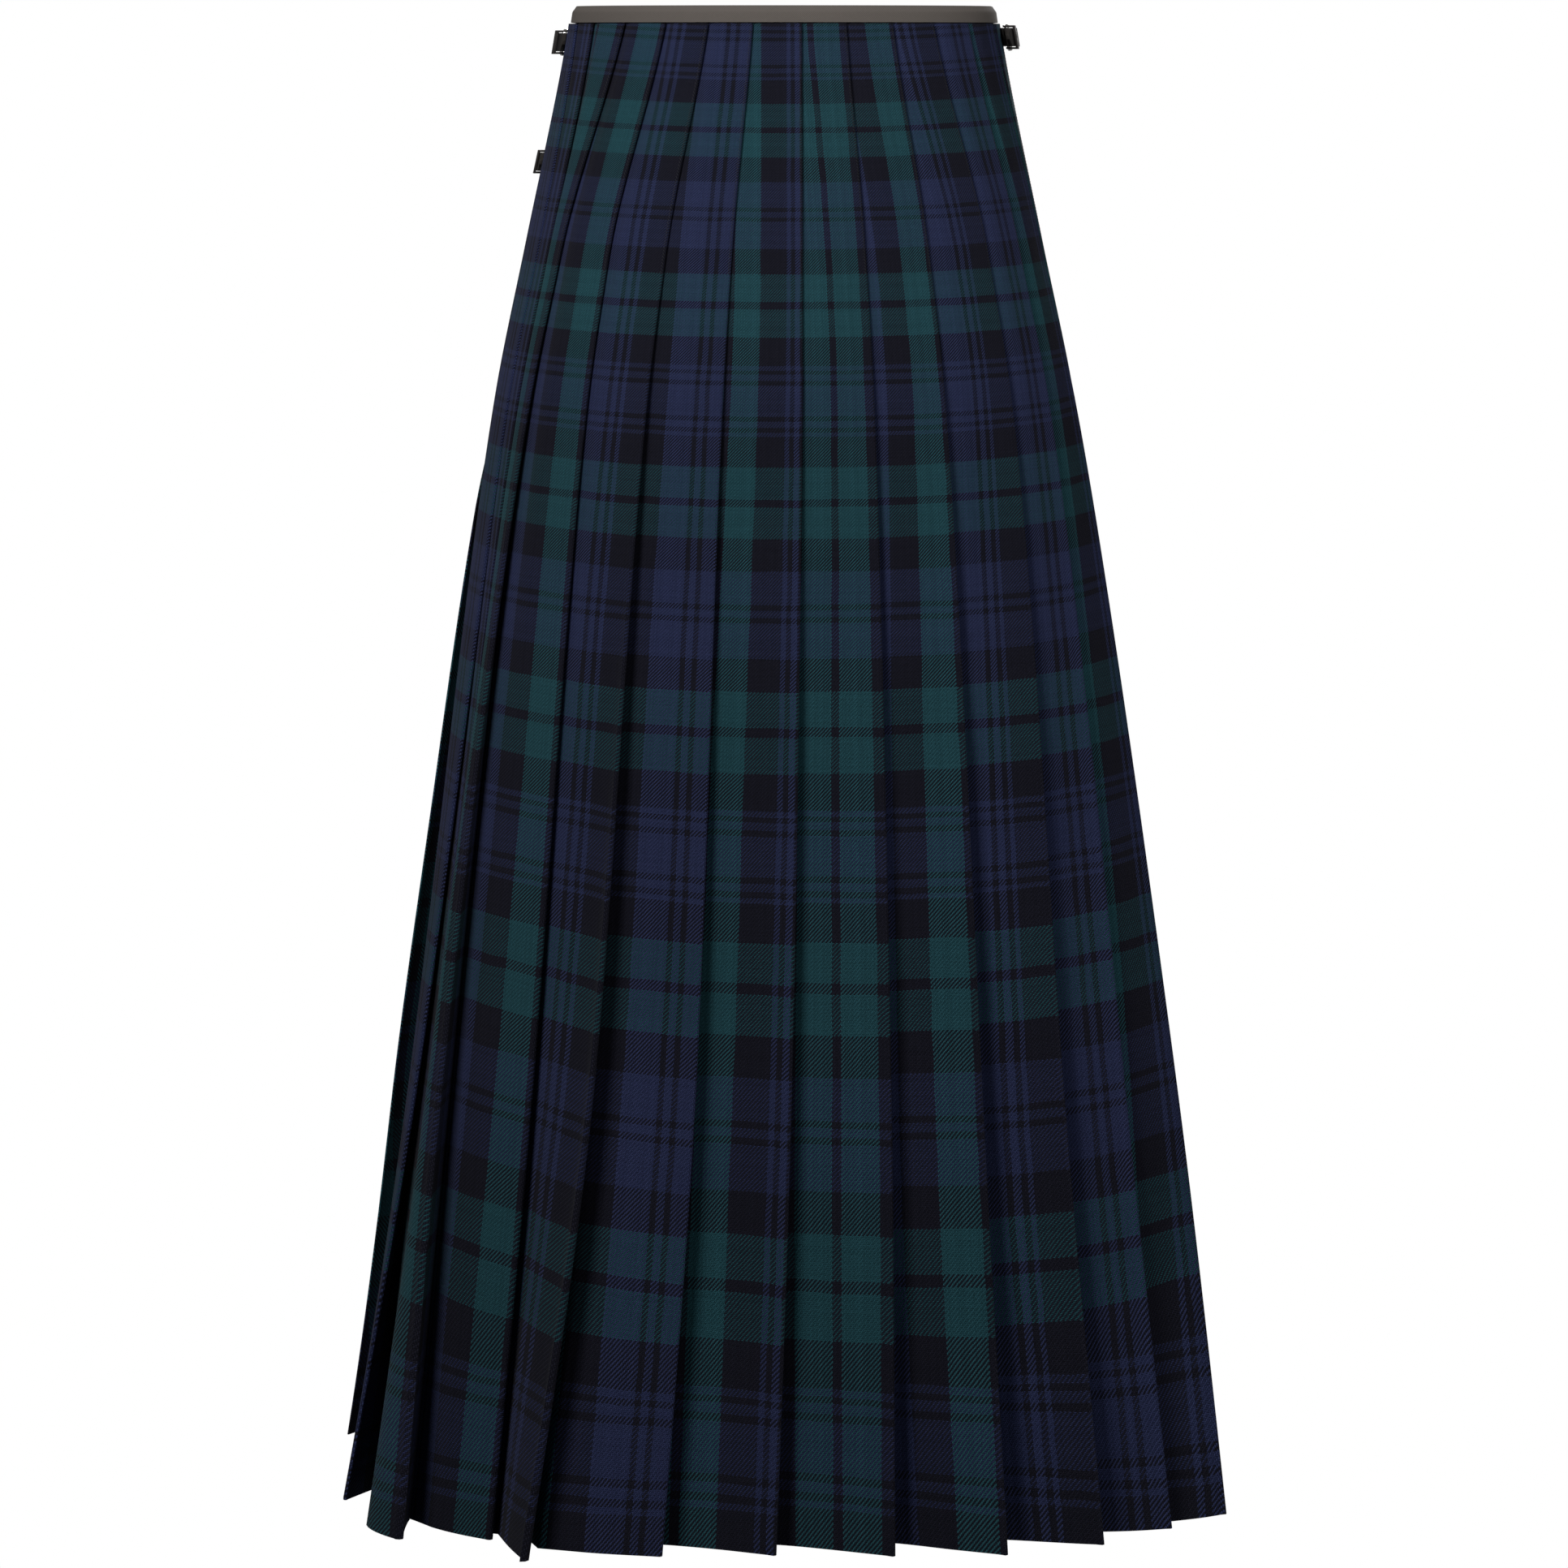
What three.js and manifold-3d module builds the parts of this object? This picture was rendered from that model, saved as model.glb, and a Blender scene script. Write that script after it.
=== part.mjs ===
// A long kilted skirt, filled out as it is worn: a pleated back, an outer apron that wraps
// from the wearer's right over the front to the left, an under apron beneath it, a waist
// tape, and three leather straps with buckles. Millimetres, +Z up. The pleated back faces
// -Y and +X is the wearer's right. The origin is the middle of the waist.
//
// Places on the skirt are given by three numbers. "drop" is the distance below the waist.
// "round" is measured along the body outline from the centre back, positive towards +X.
// "lift" is the distance out from that outline.

import * as THREE from "three";
import { mergeVertices } from "three/addons/utils/BufferGeometryUtils.js";
import Module from "manifold-3d";

const wasm = await Module();
wasm.setup();

// ---- driving sizes ----

const CLOTH = 1.1; // wall of the tartan
const LAYER_GAP = 0.35; // air between pressed layers
const LAYER = CLOTH + LAYER_GAP;
const TURN = LAYER / 2; // radius of a pressed fold, at the middle of the cloth
const GROUND = CLOTH / 2; // lift of the innermost layer
const SEAM_GAP = 0.3;

const TOP = -10; // drop of the tartan's top edge
const FELL = 130; // the pleats are stitched down to here
const KNEE = 600;
const HEM = 904;

const UNDERLAP = 30; // deepest hidden turn of a pleat
const UNDERLAP_SHARE = 0.65; // of the pleat's own width, where pleats are narrow

// The body outline at a few heights: half width, depth behind and in front, and the power
// of the superellipse (2 is an ellipse, more is squarer).
const SECTIONS = [
  { drop: -22, side: 124, back: 91, front: 88, power: 2.2 },
  { drop: 0, side: 127.5, back: 94, front: 91, power: 2.2 },
  { drop: 120, side: 153, back: 114, front: 99, power: 2.3 },
  { drop: 210, side: 172, back: 121, front: 105, power: 2.4 },
  { drop: 330, side: 190, back: 120, front: 112, power: 2.45 },
  { drop: 630, side: 225, back: 114, front: 133, power: 2.5 },
  { drop: HEM, side: 253, back: 108, front: 150, power: 2.5 },
];

// The knife pleats from the wearer's left to right. waist, fell, knee and hem place the
// folded edge, in hundredths of the half round. stand is the lift of that edge at the hem,
// and root the lift at the hem where the panel comes out from under the pleat before it.
// belly is the power of the panel's rise from root to stand: under 1 it rolls outward at
// once. late is the power of the growth of both towards the hem.
const PLEATS = [
  { waist: -41.4, fell: -39.3, knee: -41.2, hem: -45.3, stand: 23.5, root: 23, belly: 1.25, late: 2.5 },
  { waist: -35.4, fell: -36.4, knee: -37.8, hem: -39.6, stand: 12, root: 2, belly: 1.25, late: 1 },
  { waist: -27.9, fell: -33.6, knee: -34.8, hem: -34.5, stand: 37, root: 3, belly: 0.16, late: 1 },
  { waist: -20.1, fell: -24.9, knee: -25.9, hem: -27.6, stand: 14, root: 5, belly: 0.9, late: 1 },
  { waist: -12.7, fell: -16.5, knee: -18.7, hem: -22.7, stand: 50, root: 1, belly: 1.05, late: 1 },
  { waist: -5.3, fell: -7.3, knee: -8.9, hem: -11.3, stand: 29, root: 22, belly: 1.25, late: 1 },
  { waist: 2.8, fell: 2.4, knee: 0.8, hem: -0.8, stand: 25, root: 5, belly: 1.25, late: 1 },
  { waist: 10.2, fell: 11.1, knee: 10.8, hem: 10.2, stand: 28, root: 3, belly: 1.25, late: 1 },
  { waist: 18.1, fell: 20.1, knee: 19.8, hem: 20.3, stand: 33, root: 1, belly: 1.25, late: 1 },
  { waist: 25.6, fell: 29.5, knee: 28.3, hem: 29.3, stand: 28, root: 1, belly: 1.25, late: 1 },
  { waist: 33.2, fell: 36.2, knee: 35.8, hem: 36.7, stand: 20, root: 1, belly: 1.25, late: 1 },
  { waist: 41.2, fell: 44.6, knee: 44.0, hem: 42.2, stand: 30, root: 6, belly: 1.25, late: 1 },
  { waist: 49.0, fell: 53.0, knee: 54.5, hem: 55.0, stand: 14, root: 3, belly: 1.25, late: 1 },
];
const PLEAT_PLACES = { waist: TOP, fell: FELL, knee: KNEE, hem: HEM };

// Ends of the aprons, in parts of the half round from the centre back.
const LEFT_SEAM = -0.52; // pleated back to under apron
const UNDER_APRON_END = 0.62; // free edge, on the wearer's right
const OUTER_APRON_END = { waist: -0.62, hem: -0.565 }; // free edge, on the wearer's left
const OVERLAP_START = 0.585; // the outer apron lies over the under apron from here

// The left hip swings out towards the hem, and the outer apron's free edge more so.
const LEFT_SWING = { lift: 22, power: 2.5, centre: LEFT_SEAM, reach: 0.1 };
const EDGE_FLARE = { reach: 95, hemRise: 17, risePower: 3 };
const EDGE_LIFTS = [
  { drop: 95, lift: 0 },
  { drop: 180, lift: 4.5 },
  { drop: 290, lift: 15.5 },
  { drop: 465, lift: 20.7 },
  { drop: 630, lift: 24 },
  { drop: 760, lift: 21.7 },
  { drop: HEM, lift: 18.5 },
];

const TAPE = { top: -21, bottom: 8, wall: 1.6, clear: 0.75 };
const APRON_GAP = 1.2; // air between the two aprons

// The drops at which the cloth is sectioned.
const ROWS = [TOP, 30, 80, FELL, 190, 270, 370, 490, 630, 770, HEM];

const COLOURS = { tartan: "#1b343d", taupe: "#5c5652", leather: "#141315", silver: "#c9c7c2" };

// ---- the body outline ----

const OUTLINE_STEPS = 720;
const outlines = new Map();

// A smooth curve through the rows' values of one column, with no overshoot.
function smoothed(xs, ys, x) {
  const last = xs.length - 1;
  const slope = (i) => (ys[i + 1] - ys[i]) / (xs[i + 1] - xs[i]);
  const tangent = (i) => {
    if (i === 0) return slope(0);
    if (i === last) return slope(last - 1);
    if (slope(i - 1) * slope(i) <= 0) return 0;
    const before = xs[i] - xs[i - 1];
    const after = xs[i + 1] - xs[i];
    const [w0, w1] = [2 * after + before, after + 2 * before];
    return (w0 + w1) / (w0 / slope(i - 1) + w1 / slope(i));
  };
  let i = 0;
  while (i < last - 1 && x > xs[i + 1]) i += 1;
  const width = xs[i + 1] - xs[i];
  const t = (x - xs[i]) / width;
  const t2 = t * t;
  const t3 = t2 * t;
  return (
    (2 * t3 - 3 * t2 + 1) * ys[i] +
    (t3 - 2 * t2 + t) * width * tangent(i) +
    (3 * t2 - 2 * t3) * ys[i + 1] +
    (t3 - t2) * width * tangent(i + 1)
  );
}

function sectionAt(drop) {
  const drops = SECTIONS.map((row) => row.drop);
  const column = (name) => smoothed(drops, SECTIONS.map((row) => row[name]), drop);
  return { side: column("side"), back: column("back"), front: column("front"), power: column("power") };
}

// The outline at one height: points, outward normals, and the running length from the
// centre back.
function outlineAt(drop) {
  if (outlines.has(drop)) return outlines.get(drop);
  const { side, back, front, power } = sectionAt(drop);
  const points = [];
  let length = 0;
  for (let i = 0; i <= OUTLINE_STEPS; i += 1) {
    const angle = -Math.PI + (2 * Math.PI * i) / OUTLINE_STEPS;
    const sine = Math.sin(angle);
    const cosine = Math.cos(angle);
    const depth = cosine > 0 ? back : front;
    const x = side * Math.sign(sine) * Math.abs(sine) ** (2 / power);
    const y = -depth * Math.sign(cosine) * Math.abs(cosine) ** (2 / power);
    const nx = (Math.sign(x) * Math.abs(x / side) ** (power - 1)) / side;
    const ny = (Math.sign(y) * Math.abs(y / depth) ** (power - 1)) / depth;
    const size = Math.hypot(nx, ny);
    if (i) length += Math.hypot(x - points[i - 1].x, y - points[i - 1].y);
    points.push({ x, y, nx: nx / size, ny: ny / size, length });
  }
  const half = length / 2;
  points.forEach((point) => {
    point.length -= half;
  });
  outlines.set(drop, { points, half });
  return outlines.get(drop);
}

const halfRound = (drop) => outlineAt(drop).half;

// The point at a distance round, a drop and a lift. rise moves it up.
function place(round, drop, lift, rise = 0) {
  const { points, half } = outlineAt(drop);
  const wrapped = THREE.MathUtils.euclideanModulo(round + half, 2 * half) - half;
  let low = 0;
  let high = points.length - 1;
  while (high - low > 1) {
    const middle = (low + high) >> 1;
    if (points[middle].length <= wrapped) low = middle;
    else high = middle;
  }
  const a = points[low];
  const b = points[high];
  const t = (wrapped - a.length) / (b.length - a.length);
  const mix = (name) => a[name] + (b[name] - a[name]) * t;
  return new THREE.Vector3(mix("x") + mix("nx") * lift, mix("y") + mix("ny") * lift, rise - drop);
}

// ---- closed walls ----

// Moves a path of [along, lift] points sideways by half the wall, to each side.
function wallSides(path, wall) {
  const normal = (a, b) => {
    const run = b[0] - a[0];
    const climb = b[1] - a[1];
    const size = Math.hypot(run, climb);
    return [-climb / size, run / size];
  };
  const MITRE_LIMIT = 1.6;
  const sides = path.map((point, i) => {
    const before = i ? normal(path[i - 1], point) : normal(point, path[1]);
    const after = i < path.length - 1 ? normal(point, path[i + 1]) : before;
    const sum = [before[0] + after[0], before[1] + after[1]];
    const size = Math.hypot(sum[0], sum[1]);
    const reach = ((wall / 2) * Math.min(2 / size, MITRE_LIMIT)) / size;
    return { out: [sum[0] * reach, sum[1] * reach], point };
  });
  const outer = sides.map(({ point, out }) => [point[0] + out[0], point[1] + out[1]]);
  const inner = sides.map(({ point, out }) => [point[0] - out[0], point[1] - out[1]]);
  return [...outer, ...inner.reverse()];
}

// A closed body from rings of equal length: its sides, and a strip across each end ring
// that joins the ring's first half to its second half.
function skinned(rings) {
  const count = rings[0].length;
  const faces = [];
  const quad = (a, b, c, d) => faces.push(a, b, c, a, c, d);
  for (let row = 0; row < rings.length - 1; row += 1) {
    for (let i = 0; i < count; i += 1) {
      const next = (i + 1) % count;
      quad(row * count + i, (row + 1) * count + i, (row + 1) * count + next, row * count + next);
    }
  }
  const end = (rings.length - 1) * count;
  for (let i = 0; i < count / 2 - 1; i += 1) {
    const far = count - 1 - i;
    quad(i, i + 1, far - 1, far);
    quad(end + i, end + far, end + far - 1, end + i + 1);
  }
  return closedGeometry(rings.flat(), faces);
}

// A geometry whose faces point out.
function closedGeometry(points, faces) {
  const cross = new THREE.Vector3();
  let volume = 0;
  for (let i = 0; i < faces.length; i += 3) {
    const [a, b, c] = [points[faces[i]], points[faces[i + 1]], points[faces[i + 2]]];
    volume += a.dot(cross.crossVectors(b, c));
  }
  const outward = volume > 0 ? faces : faces.slice().reverse();
  const geometry = new THREE.BufferGeometry().setFromPoints(points);
  geometry.setIndex(outward);
  geometry.computeVertexNormals();
  return geometry;
}

// Cloth hung in rows: pathAt gives the path of [round, lift] points at each drop.
function hungCloth(drops, pathAt, wall, riseAt = () => 0) {
  const rings = drops.map((drop) =>
    wallSides(pathAt(drop), wall).map(([round, lift]) => place(round, drop, lift, riseAt(round, drop))),
  );
  return skinned(rings);
}

const group = new THREE.Group();

function add(name, geometry, colour, finish) {
  const material = new THREE.MeshStandardMaterial({ color: colour, ...finish });
  const mesh = new THREE.Mesh(geometry, material);
  mesh.name = name;
  group.add(mesh);
}

const WOOL = { roughness: 0.92, metalness: 0 };
const HIDE = { roughness: 0.5, metalness: 0 };
const STEEL = { roughness: 0.25, metalness: 0.95 };

// ---- the pleated back ----

const lerp = THREE.MathUtils.lerp;

// How far the pleats have opened at a drop: 0 down to the fell, 1 at the hem.
function opened(drop) {
  return THREE.MathUtils.clamp((drop - FELL) / (HEM - FELL), 0, 1) ** 1.2;
}

function foldRound(pleat, drop) {
  const columns = Object.keys(PLEAT_PLACES);
  const drops = columns.map((name) => PLEAT_PLACES[name]);
  const hundredths = smoothed(drops, columns.map((name) => pleat[name]), drop);
  return (hundredths / 100) * halfRound(drop);
}

// Every pleat's folded edge, width, hidden depth and lifts at one drop.
function foldsAt(drop) {
  const open = opened(drop);
  const pressedTop = GROUND + 2 * LAYER;
  let from = LEFT_SEAM * halfRound(drop);
  return PLEATS.map((pleat) => {
    const at = foldRound(pleat, drop);
    const span = at - from;
    const fold = {
      from,
      at,
      span,
      under: Math.min(UNDERLAP, UNDERLAP_SHARE * span),
      stand: lerp(pressedTop, pleat.stand, open ** pleat.late),
      root: lerp(GROUND, Math.max(pleat.root, GROUND), open ** pleat.late),
      belly: pleat.belly,
    };
    from = at;
    return fold;
  });
}

const CLIMB_START = 0.05; // share of a pressed panel where it starts to climb over its turn
const CLIMB_CLEAR = 2; // the climb ends this far before the inner fold
const RUN_OUT = 0.35; // share of the hidden turn where the next panel starts to lift
const UNDER_SAG = 0.45; // share of the stand that is left half way along the hidden turn

// The middle line of the cloth through one pleat: the panel that shows, the round of its
// folded edge, the turn back beneath it, and the round of the inner fold.
function pleatPath(fold, before, drop) {
  const pressedTop = GROUND + 2 * LAYER;
  const climbEnd = 1 - (fold.under + CLIMB_CLEAR) / fold.span;
  const hangs = opened(drop) ** Math.min(1, 2 * fold.belly);
  const back = fold.at - fold.under / 2;
  const panel = (share) => {
    const pressed = lerp(GROUND, pressedTop, THREE.MathUtils.smoothstep(share, CLIMB_START, climbEnd));
    const hanging = lerp(fold.root, fold.stand, share ** fold.belly);
    return [fold.from + share * fold.span, lerp(pressed, hanging, lerp(hangs, 1, share ** 2))];
  };
  const sagging = lerp(GROUND + 2 * TURN, fold.stand - 2 * TURN, UNDER_SAG);
  const beneath = Math.min(sagging, panel((back - fold.from) / fold.span)[1] - LAYER);
  const path = [];
  if (before) {
    path.push([fold.from - before.under + TURN, GROUND]);
    path.push([fold.from - RUN_OUT * before.under, lerp(GROUND, fold.root, 0.5)]);
  }
  const beyond = 1 - (2.5 * TURN) / fold.span;
  const start = before ? CLIMB_START : 0;
  const panelShares = [start, climbEnd / 2, climbEnd, (climbEnd + beyond) / 2, beyond];
  path.push(...panelShares.map(panel));
  path.push([fold.at - TURN, fold.stand]);
  path.push([fold.at, fold.stand - TURN]);
  path.push([fold.at - TURN, fold.stand - 2 * TURN]);
  path.push([back, beneath]);
  path.push([fold.at - fold.under + TURN, GROUND + 2 * TURN]);
  path.push([fold.at - fold.under, GROUND + TURN]);
  return path;
}

const LAST_TAIL = 4; // the last pleat's under layer ends this far inside its folded edge

function pleatedPath(drop) {
  const folds = foldsAt(drop);
  const path = folds.flatMap((fold, i) => pleatPath(fold, folds[i - 1], drop));
  const last = folds[folds.length - 1];
  path.push([last.at - last.under + TURN, GROUND], [last.at - LAST_TAIL, GROUND]);
  return path;
}

// ---- the aprons ----

// Lift of the left hip's swing, by the share of the half round.
function swing(share, drop) {
  const away = (share - LEFT_SWING.centre) / LEFT_SWING.reach;
  return (LEFT_SWING.lift - GROUND) * opened(drop) ** LEFT_SWING.power * Math.exp(-away * away);
}

const OVER_UNDER_APRON = GROUND + CLOTH + APRON_GAP;
const OVER_TAPE = TAPE.wall + 2 * TAPE.clear - APRON_GAP;

// The outer apron lies clear of the tape near the top, and on the under apron below it.
function outerApronLift(drop) {
  return OVER_UNDER_APRON + OVER_TAPE * (1 - THREE.MathUtils.smoothstep(drop, 12, 60));
}

const APRON_STEPS = 40;

function underApronPath(drop) {
  const half = halfRound(drop);
  const start = UNDER_APRON_END - 2;
  const end = LEFT_SEAM - SEAM_GAP / half;
  const path = [];
  for (let i = 0; i <= APRON_STEPS; i += 1) {
    const share = lerp(start, end, i / APRON_STEPS);
    path.push([share * half, GROUND + swing(share, drop)]);
  }
  return path;
}

function outerApronEdge(drop) {
  const { waist, hem } = OUTER_APRON_END;
  return 2 + lerp(waist, hem, THREE.MathUtils.clamp(drop / HEM, 0, 1));
}

// 1 at the outer apron's free edge, falling to 0 a reach away from it.
function nearEdge(round, drop) {
  const distance = outerApronEdge(drop) * halfRound(drop) - round;
  return 1 - THREE.MathUtils.smoothstep(distance, 0, EDGE_FLARE.reach);
}

// How far the free edge stands off the hip at a drop.
function edgeLift(drop) {
  const drops = EDGE_LIFTS.map((row) => row.drop);
  const within = THREE.MathUtils.clamp(drop, drops[0], HEM);
  return smoothed(drops, EDGE_LIFTS.map((row) => row.lift), within);
}

// 0 where the outer apron comes out from under the last pleat, 1 where it lies over the
// under apron and, at the top, over the tape.
function stepOut(share, drop) {
  const start = foldsAt(drop).at(-1).at / halfRound(drop) + 0.01;
  return THREE.MathUtils.smoothstep(share, start, OVERLAP_START);
}

const STEP_OUT_STEPS = 7;

function outerApronPath(drop) {
  const half = halfRound(drop);
  const lastFold = foldsAt(drop).at(-1).at;
  const path = [[lastFold - LAST_TAIL + SEAM_GAP, GROUND]];
  for (let i = 0; i < STEP_OUT_STEPS; i += 1) {
    const share = lerp(lastFold / half + 0.003, OVERLAP_START, i / STEP_OUT_STEPS);
    path.push([share * half, lerp(GROUND, outerApronLift(drop), stepOut(share, drop))]);
  }
  const end = outerApronEdge(drop);
  for (let i = 0; i <= APRON_STEPS; i += 1) {
    const share = lerp(OVERLAP_START, end, (i / APRON_STEPS) ** 0.9);
    const flare = edgeLift(drop) * nearEdge(share * half, drop);
    path.push([share * half, outerApronLift(drop) + swing(share - 2, drop) + flare]);
  }
  return path;
}

function outerApronRise(round, drop) {
  return EDGE_FLARE.hemRise * (Math.max(drop, 0) / HEM) ** EDGE_FLARE.risePower * nearEdge(round, drop);
}

// ---- the waist tape ----

// One strip inside the whole wrap: it starts at the under apron's free edge, runs round the
// back, and steps outward to lie inside the outer apron.
function tapePath(drop) {
  const half = halfRound(drop);
  const inside = -TAPE.clear - TAPE.wall / 2;
  const between = CLOTH + TAPE.clear + TAPE.wall / 2;
  const steps = 110;
  const start = UNDER_APRON_END - 2;
  const end = outerApronEdge(0);
  const path = [];
  for (let i = 0; i <= steps; i += 1) {
    const share = lerp(start, end, i / steps);
    path.push([share * half, lerp(inside, between, stepOut(share, TOP))]);
  }
  return path;
}

// ---- straps and buckles ----

const STRAP = {
  wall: 2, halfWidth: 5.5, tipHalfWidth: 1.2, point: 5,
  start: -36, tip: 26, // along the round, from the buckle's middle
  holes: [-17, -27], holeRadius: 1.1, slot: 7,
};
const TAB = { wall: 1.4, end: 20, fold: 0.4 };
const FRAME = { height: 16.4, rod: 2, heel: 8, front: -8, heelLift: 2.9, frontLift: 4.7 };
const PRONG = { wall: 1.3, halfWidth: 0.8 };
const KEEPER = { at: 14, length: 4, wall: 1.2 };

const ON_PLEATS = GROUND + 2 * LAYER + CLOTH / 2; // outer face of the pressed pleats
const ON_UNDER_APRON = GROUND + CLOTH / 2;

// Each set: where its buckle's middle is, the lift that its parts are measured from, the
// outer face that its tab is sewn to, and which way its tip points along the round.
const FASTENINGS = [
  { name: "waist_strap_left", share: -0.58, drop: 1, lift: 5.7, seat: ON_UNDER_APRON, back: 1 },
  { name: "waist_strap_right", share: 0.535, drop: -2, lift: 5.7, seat: ON_PLEATS, back: -1 },
  { name: "hip_strap_left", share: -0.6, drop: 73, lift: 4.3, seat: ON_UNDER_APRON, back: 1 },
];

// The tab's sewn end lies on its seat, and the strap's end lies on the tab.
const tabEndOut = (set) => set.seat + SEAM_GAP + TAB.wall / 2 - set.lift;
const tabUpperOut = (set) => tabEndOut(set) + TAB.wall + TAB.fold;
const strapEndOut = (set) => tabUpperOut(set) + TAB.wall / 2 + SEAM_GAP + STRAP.wall / 2;

// A point of a fastening: along towards the back, up the skirt, and out from the cloth.
function fasteningPlace(set, along, up, out) {
  const drop = set.drop - up;
  return place(set.share * halfRound(drop) + set.back * along, drop, set.lift + out);
}

// A flat strip through [along, out] points, with its own half width at each.
function strip(set, path, wall, halfWidthAt) {
  const sides = wallSides(path, wall);
  const ring = (sign) =>
    sides.map(([along, out]) => fasteningPlace(set, along, sign * halfWidthAt(along), out));
  return skinned([ring(-1), ring(1)]);
}

function toManifold(geometry) {
  const bare = geometry.clone();
  bare.deleteAttribute("normal");
  bare.deleteAttribute("uv");
  const merged = mergeVertices(bare, 1e-4);
  return new wasm.Manifold(
    new wasm.Mesh({
      numProp: 3,
      vertProperties: merged.attributes.position.array,
      triVerts: Uint32Array.from(merged.index.array),
    }),
  );
}

function fromManifold(solid) {
  const { vertProperties, triVerts } = solid.getMesh();
  const geometry = new THREE.BufferGeometry();
  geometry.setAttribute("position", new THREE.BufferAttribute(vertProperties, 3));
  geometry.setIndex(new THREE.BufferAttribute(triVerts, 1));
  geometry.computeVertexNormals();
  return geometry;
}

// The transform that puts a flat piece, drawn with X along, Y up and its middle at 0, so
// that it reaches from one [along, out] point to another.
function fasteningFrame(set, [along, out], [alongEnd, outEnd]) {
  const from = fasteningPlace(set, along, 0, out);
  const to = fasteningPlace(set, alongEnd, 0, outEnd);
  const x = to.clone().sub(from).normalize();
  const up = fasteningPlace(set, along, 1, out).sub(fasteningPlace(set, along, -1, out)).normalize();
  const z = new THREE.Vector3().crossVectors(x, up).normalize();
  if (set.back < 0) z.negate();
  const y = new THREE.Vector3().crossVectors(z, x);
  return new THREE.Matrix4().makeBasis(x, y, z).setPosition(from.add(to).multiplyScalar(0.5));
}

// A path's height at a distance along it.
function outAt(path, along) {
  const i = Math.max(1, path.findIndex((point) => point[0] >= along));
  const [[a, outA], [b, outB]] = [path[i - 1], path[i]];
  return lerp(outA, outB, (along - a) / (b - a));
}

// The tab's upper layer, from where it bends down off the buckle to its sewn end.
const TAB_BEND = FRAME.heel + 4.5;
const tabUpper = (set) => [[TAB_BEND, TAB.wall * 1.5 + TAB.fold + 0.1], [TAB.end, tabUpperOut(set)]];

// The strap's middle line. It is sewn to the outer apron, goes under the buckle's front
// bar, up through the frame, and over the tab to its pointed tip.
function strapPath(set) {
  const laid = STRAP.wall / 2 + 0.1;
  const overTab = TAB.wall / 2 + SEAM_GAP + STRAP.wall / 2 + 0.4; // more, as the tab slopes
  return [
    [STRAP.start, laid],
    [-22, laid],
    [FRAME.front - 3, laid + 0.5],
    [FRAME.front + 1.5, laid + 1.1],
    [-1, 4.4],
    [5, 7.1],
    [9, 7.5],
    [TAB_BEND, outAt(tabUpper(set), TAB_BEND) + overTab],
    [TAB.end - 4, outAt(tabUpper(set), TAB.end - 4) + overTab],
    [STRAP.tip - STRAP.point, strapEndOut(set)],
    [STRAP.tip, strapEndOut(set) - 0.8],
  ];
}

function strapGeometry(set) {
  const halfWidthAt = (along) => {
    const toTip = Math.min(1, (STRAP.tip - along) / STRAP.point);
    return lerp(STRAP.tipHalfWidth, STRAP.halfWidth, Math.max(0, toTip));
  };
  const whole = toManifold(strip(set, strapPath(set), STRAP.wall, halfWidthAt));
  const slot = new THREE.BoxGeometry(STRAP.slot, 2 * STRAP.holeRadius, 16);
  slot.applyMatrix4(fasteningFrame(set, [-5, 4.4], [3, 4.4]));
  let solid = whole.subtract(toManifold(slot));
  for (const along of STRAP.holes) {
    const punch = new THREE.CylinderGeometry(STRAP.holeRadius, STRAP.holeRadius, 8, 8);
    punch.rotateX(Math.PI / 2);
    punch.applyMatrix4(fasteningFrame(set, [along - 1, 1.2], [along + 1, 1.2]));
    solid = solid.subtract(toManifold(punch));
  }
  return fromManifold(solid);
}

// The tab folds round the buckle's heel bar, and its two layers are sewn to the skirt.
function tabGeometry(set) {
  const radius = FRAME.rod / Math.SQRT2 + SEAM_GAP + TAB.wall / 2;
  const path = [[TAB.end, tabEndOut(set)], [FRAME.heel + 3, TAB.wall / 2 + 0.1]];
  for (let i = 0; i <= 5; i += 1) {
    const angle = -Math.PI / 3 - (i / 5) * ((4 * Math.PI) / 3);
    path.push([FRAME.heel + radius * Math.cos(angle), FRAME.heelLift + radius * Math.sin(angle)]);
  }
  path.push(...tabUpper(set));
  return strip(set, path, TAB.wall, () => STRAP.halfWidth);
}

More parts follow.
